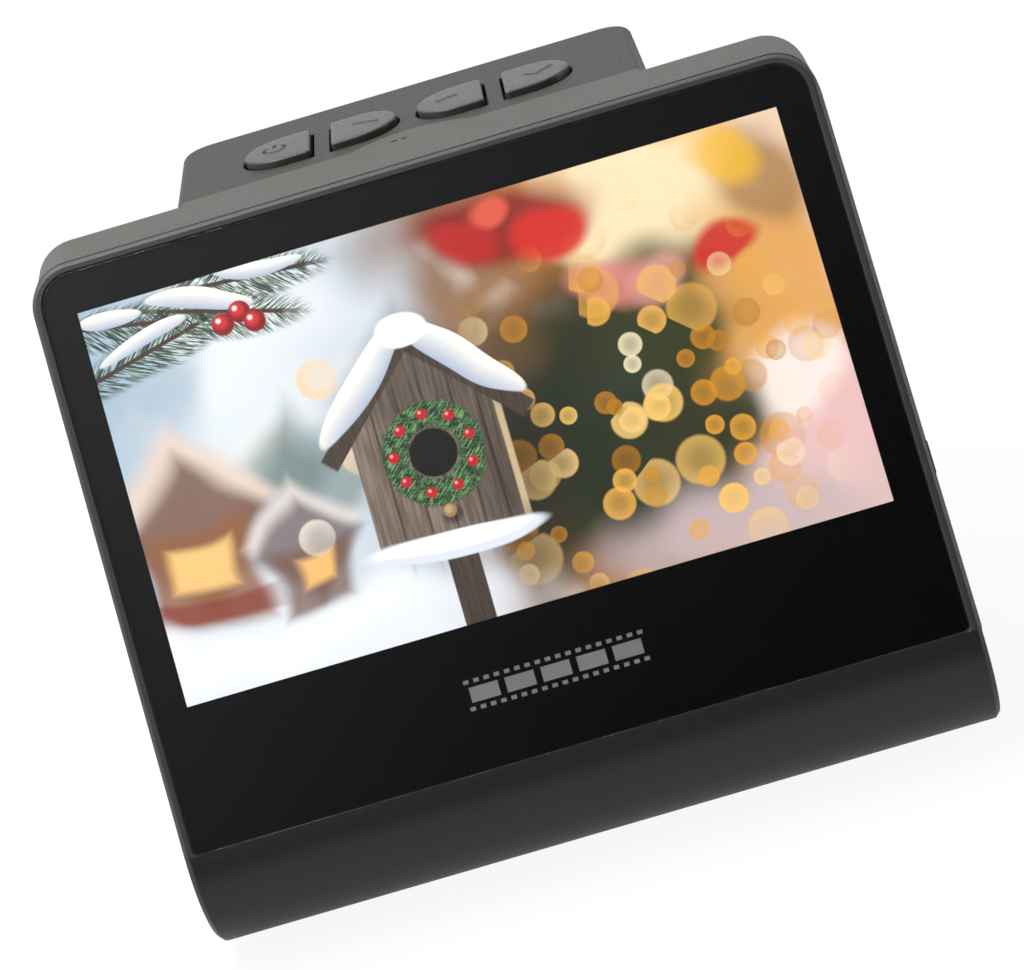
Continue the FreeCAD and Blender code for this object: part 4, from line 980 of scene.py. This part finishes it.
mark_sink, mark_shift = 0.07, 0.4
mark_low, mark_height, lip_height, lip_shift = key_proud - mark_sink, 0.15, 0.13, 0.42
mark_widths = {"power": 0.75, "left": 1.0, "right": 1.0, "confirm": 0.95}
key_marks = {
    "power": [arc((0, -0.1), 1.75, 128, 412), line((0, 0.5), (0, 2.3))],
    "left": [line((-2.2, 1.0), (2.2, -1.0))],
    "right": [line((-2.0, -0.6), (2.0, 0.6))],
    "confirm": [line((-2.2, 0.3), (-0.5, -1.5)), line((-0.7, -1.5), (2.5, 1.7))],
}
for name, middle, side in zip(key_names, key_middles, key_sides):
    for count, path in enumerate(key_marks[name]):
        path = path + np.array([middle + mark_shift * side, key_row])
        # The dark bead is painted shade for the sunk mark; the lip is the key's own plastic
        for kind, low_path, height, material in (
                ("mark", path, mark_height, mark_painted_shade),
                ("mark_lip", path - (0.0, lip_shift), lip_height, button_abs)):
            piece = finish_mesh("%s_%s_%d" % (name, kind, count),
                                *bead(low_path, mark_widths[name], height, on_head, mark_low),
                                material, name + "_key", sharp=60)
print("marks:", sum(len(paths) for paths in key_marks.values()))

# %% [markdown]
# Where the two mouldings meet, a thin black bead lies in the seam along the top and round
# both corners: painted shade, standing in for the dark line of shadow between the two greys.
# On the right side a short black bead in the same seam is painted shade for a short dark
# line there. Both are beads that follow the outline of the front.

# %% Painted shade in the seam
bezel_width, outline_corner = 1.5, 6.65
outline_half = glass_width / 2 + glass_gap + bezel_width
outline_top = glass_height + 2 * glass_gap + bezel_width
seam_middle, shade_bead_width, shade_bead_height, shade_bead_proud = -2.15, 0.5, 0.4, 0.28
shade_bead_tuck, seam_start, seam_ease = 0.15, 12, 40        # mm below the outline, then degrees


def seam_arc(side, count=30):
    """Corner of the seam: an arc whose radius eases from inside the seam to its proud height."""
    turns = np.linspace(seam_start, 90, count)
    angles, eased = np.radians(turns), np.clip((turns - seam_start) / seam_ease, 0, 1)
    radius = outline_corner - shade_bead_tuck + (shade_bead_proud + shade_bead_tuck) * eased
    return np.stack([side * (outline_half - outline_corner + radius * np.cos(angles)),
                     outline_top - outline_corner + radius * np.sin(angles)], axis=-1)


right_arc, left_arc = seam_arc(1), seam_arc(-1)
top_run = line(right_arc[-1], left_arc[-1], 40)[1:-1]
seam_path = np.concatenate([right_arc, top_run, left_arc[::-1]])
notch_shade_out, notch_shade_low, notch_shade_high = outline_half + 0.12, 24.1, 29.5
notch_shade_path = line((notch_shade_out, notch_shade_low), (notch_shade_out, notch_shade_high))
# Painted shade: both beads are black, in place of the shadow in the seam
for name, path in (("seam_trim", seam_path), ("seam_catch", notch_shade_path)):
    piece = finish_mesh(name, *bead(path, shade_bead_width, shade_bead_height, on_panel, seam_middle),
                        seam_shade_black, "scanner", sharp=60)
print("seam trim points:", len(seam_path))

# %% [markdown]
# Below the display the glass carries a small print in silver ink: a strip of film, with
# frames and two rows of perforations. It is a set of flat patches between the glass and
# the black mask, as if printed on the back of the glass.

# %% Film strip print
strip_middle = np.array([-0.6, 11.7])
strip_rows = [      # count, pitch, height above the strip's middle, half sizes of one patch
    (5, 5.6, 0.0, (2.25, 1.15)), (18, 1.6, -2.05, (0.42, 0.3)), (18, 1.6, 2.05, (0.42, 0.3))]
patches = []
for count, pitch, up, halves in strip_rows:
    spots = np.stack([centred(count, pitch), np.full(count, up)], axis=-1) + strip_middle
    patches.append((spots[:, None, :] + square * halves).reshape(-1, 2))
patches = np.concatenate(patches)
print_clear = 0.04                                     # mm behind the glass
strip_points = on_panel(*patches.T, -glass_back - print_clear)
strip_print = finish_mesh("film_strip_print", strip_points,
                          np.arange(len(patches)).reshape(-1, 4).tolist(), print_ink, "scanner",
                          outwards=False)
print("print is %.1f by %.1f mm" % tuple(np.ptp(patches, axis=0)))

# %% [markdown]
# Pan-head screws hold the base plate and the film gate. A screw head is a height over a
# disc: a low dome, less a cross-shaped recess. With polar rings the outline is exactly
# round, and the recess is just a dip in the height.

# %% Screws
slot_half, slot_ease, slot_reach, reach_ease = 0.19, 0.08, 0.66, 0.12    # shares of the radius


def smooth_step(value):
    """Eases 0 to 1: three squares less two cubes."""
    value = np.clip(value, 0, 1)
    return value * value * (3 - 2 * value)


def screw_head(name, middle, axis, radius, height, turn, rings=26, count=72):
    """Dome height times (1 - r^6)^(1/2), less a cross: deep where |x| or |y| is small."""
    axis = np.array(axis, dtype=float)
    side = np.cross(axis, (1.0, 0.0, 0.0) if abs(axis[0]) < 0.5 else (0.0, 1.0, 0.0))
    side /= np.linalg.norm(side)
    other = np.cross(axis, side)
    share = np.linspace(1, 0.02, rings)[:, None]
    angles = np.linspace(0, 2 * np.pi, count, endpoint=False)[None, :]
    x, y = share * np.cos(angles), share * np.sin(angles)
    slot_x = x * math.cos(turn) + y * math.sin(turn)
    slot_y = y * math.cos(turn) - x * math.sin(turn)
    narrow = np.minimum(np.abs(slot_x), np.abs(slot_y))
    recess = (smooth_step((slot_half - narrow) / slot_ease)
              * smooth_step((slot_reach - share) / reach_ease))
    rise = height * (0.45 + 0.55 * np.sqrt(np.clip(1 - share ** 6, 0, 1))) - 0.55 * height * recess
    flat = np.stack([x, y], axis=-1) * radius
    head = (np.array(middle) + flat[..., :1] * side + flat[..., 1:] * other
            + rise[..., None] * axis)
    skirt = np.array(middle) + flat[:1, :, :1] * side + flat[:1, :, 1:] * other
    points, faces = stack(np.concatenate([skirt, head]) * MM)
    return finish_mesh(name, points, faces, screw_steel, "scanner", sharp=50)


def screw_pair(name, across, back, up, axis, radius, height, turn):
    """A left and a right screw, each turned another way; the right one is given back."""
    for side, word in ((-1, "left"), (1, "right")):
        head = screw_head("%s_%s" % (name, word), (side * across, back, up), axis, radius, height,
                          turn + side)
    return head


base_low = housing_low[2]
for count, (across, back) in enumerate([(57.4, 6.272), (33.1, 16.172)]):
    last_head = screw_pair("base_screw_%d" % count, across, back, base_low, (0, 0, -1), 2.0, 1.1,
                           0.4 + count)
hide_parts("base_screws")
gate_back = 27.172
gate_rows = (10.5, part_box("gate_frame")[1][2] / MM - 4.0)
for up in gate_rows:
    screw_pair("gate_screw_%d" % up, 31.1, gate_back, up, (0, 1, 0), 1.9, 0.9, up)
print("gate screws at y %.1f and z %.1f, %.1f mm" % (gate_back, *gate_rows))

# %% [markdown]
# The stage is a pale floor under plain soft light. The room behind is white, the side
# where the photographer stands is dim, and so the glass stays black while the level
# surfaces look lighter. The floor is white to the camera and in mirrors, but a mid grey
# to soft light, so that it does not lift the underside of the object.

# %% Stage and light
floor_half = 4.0                                       # metres
mirror_share, glow_share = 0.55, 0.92                  # of the floor's own white
floor_material, tree, output = new_material("floor_paper_white")
rays = add(tree, "ShaderNodeLightPath")
mirror = arithmetic(tree, "MULTIPLY", rays.outputs["Is Glossy Ray"], mirror_share)
seen = arithmetic(tree, "MAXIMUM", rays.outputs["Is Camera Ray"], mirror)
seen = arithmetic(tree, "MAXIMUM", seen, rays.outputs["Is Transmission Ray"])
paper = mixed(tree, seen, "#6c6b69", "#ffffff")
lit = add(tree, "ShaderNodeBsdfDiffuse", {"Color": paper})
glow = add(tree, "ShaderNodeEmission", {"Color": linear("#ffffff"), "Strength": 1.0})
part = arithmetic(tree, "MULTIPLY", seen, glow_share)
both = add(tree, "ShaderNodeMixShader", {0: part, 1: lit.outputs[0], 2: glow.outputs[0]})
tree.links.new(both.outputs[0], output.inputs["Surface"])
floor_mesh = bpy.data.meshes.new("floor")
floor_mesh.from_pydata([(*corner, 0.0) for corner in (square * floor_half).tolist()], [],
                       [(0, 1, 2, 3)])
floor_mesh.materials.append(floor_material)
floor = new_object("floor", floor_mesh)

world = bpy.data.worlds.new("studio")
bpy.context.scene.world = world
world.use_nodes = True
tree = world.node_tree
tree.nodes.clear()
rays = add(tree, "ShaderNodeLightPath")
place = add(tree, "ShaderNodeTexCoord")
dim_side = add(tree, "ShaderNodeVectorMath", {
    0: place.outputs["Generated"], 1: (0.62, -0.66, -0.42)}, operation="DOT_PRODUCT")
room = ranged(tree, dim_side.outputs["Value"], -0.32, 0.4, 1.05, 0.02, "SMOOTHSTEP")
white = add(tree, "ShaderNodeBackground", {"Color": linear("#ffffff"), "Strength": 1.0})
mirrored = arithmetic(tree, "MAXIMUM", rays.outputs["Is Glossy Ray"],
                      rays.outputs["Is Transmission Ray"])
level = arithmetic(tree, "MULTIPLY_ADD", mirrored, 0.45, 0.55)
level = arithmetic(tree, "MULTIPLY", level, room)
soft = add(tree, "ShaderNodeBackground", {"Color": linear("#ffffff"), "Strength": level})
both = add(tree, "ShaderNodeMixShader", {0: rays.outputs["Is Camera Ray"], 1: soft.outputs[0],
                                         2: white.outputs[0]})
output = tree.nodes.new("ShaderNodeOutputWorld")
tree.links.new(both.outputs[0], output.inputs["Surface"])


def soft_box(name, place, aim, size, watts):
    """Square area lamp at place, turned so that its -Z looks at aim. Metres and watts."""
    lamp = bpy.data.lights.new(name, "AREA")
    lamp.shape = "SQUARE"
    lamp.size = size
    lamp.energy = watts
    holder = new_object(name, lamp)
    look = (Vector(aim) - Vector(place)).to_track_quat("-Z", "Y")
    holder.matrix_world = Matrix.Translation(Vector(place)) @ look.to_matrix().to_4x4()
    return holder


key_light = soft_box("overhead_box", (-0.45, 0.35, 1.35), (0.0, 0.0, 0.05), 1.1, 12.0)
side_light = soft_box("upper_left_box", (-0.22, -0.14, 0.56), (0.0, -0.01, 0.08), 0.28, 1.5)
rim_light = soft_box("right_rim_box", (0.7, 0.06, 0.1), (0.06, 0.0, 0.05), 0.3, 1.0)
rim_light.data.color = linear("#fff0e0")[:3]
view = bpy.context.scene.view_settings
view.view_transform = "Standard"
print("lamps:", key_light.name, side_light.name, rim_light.name)
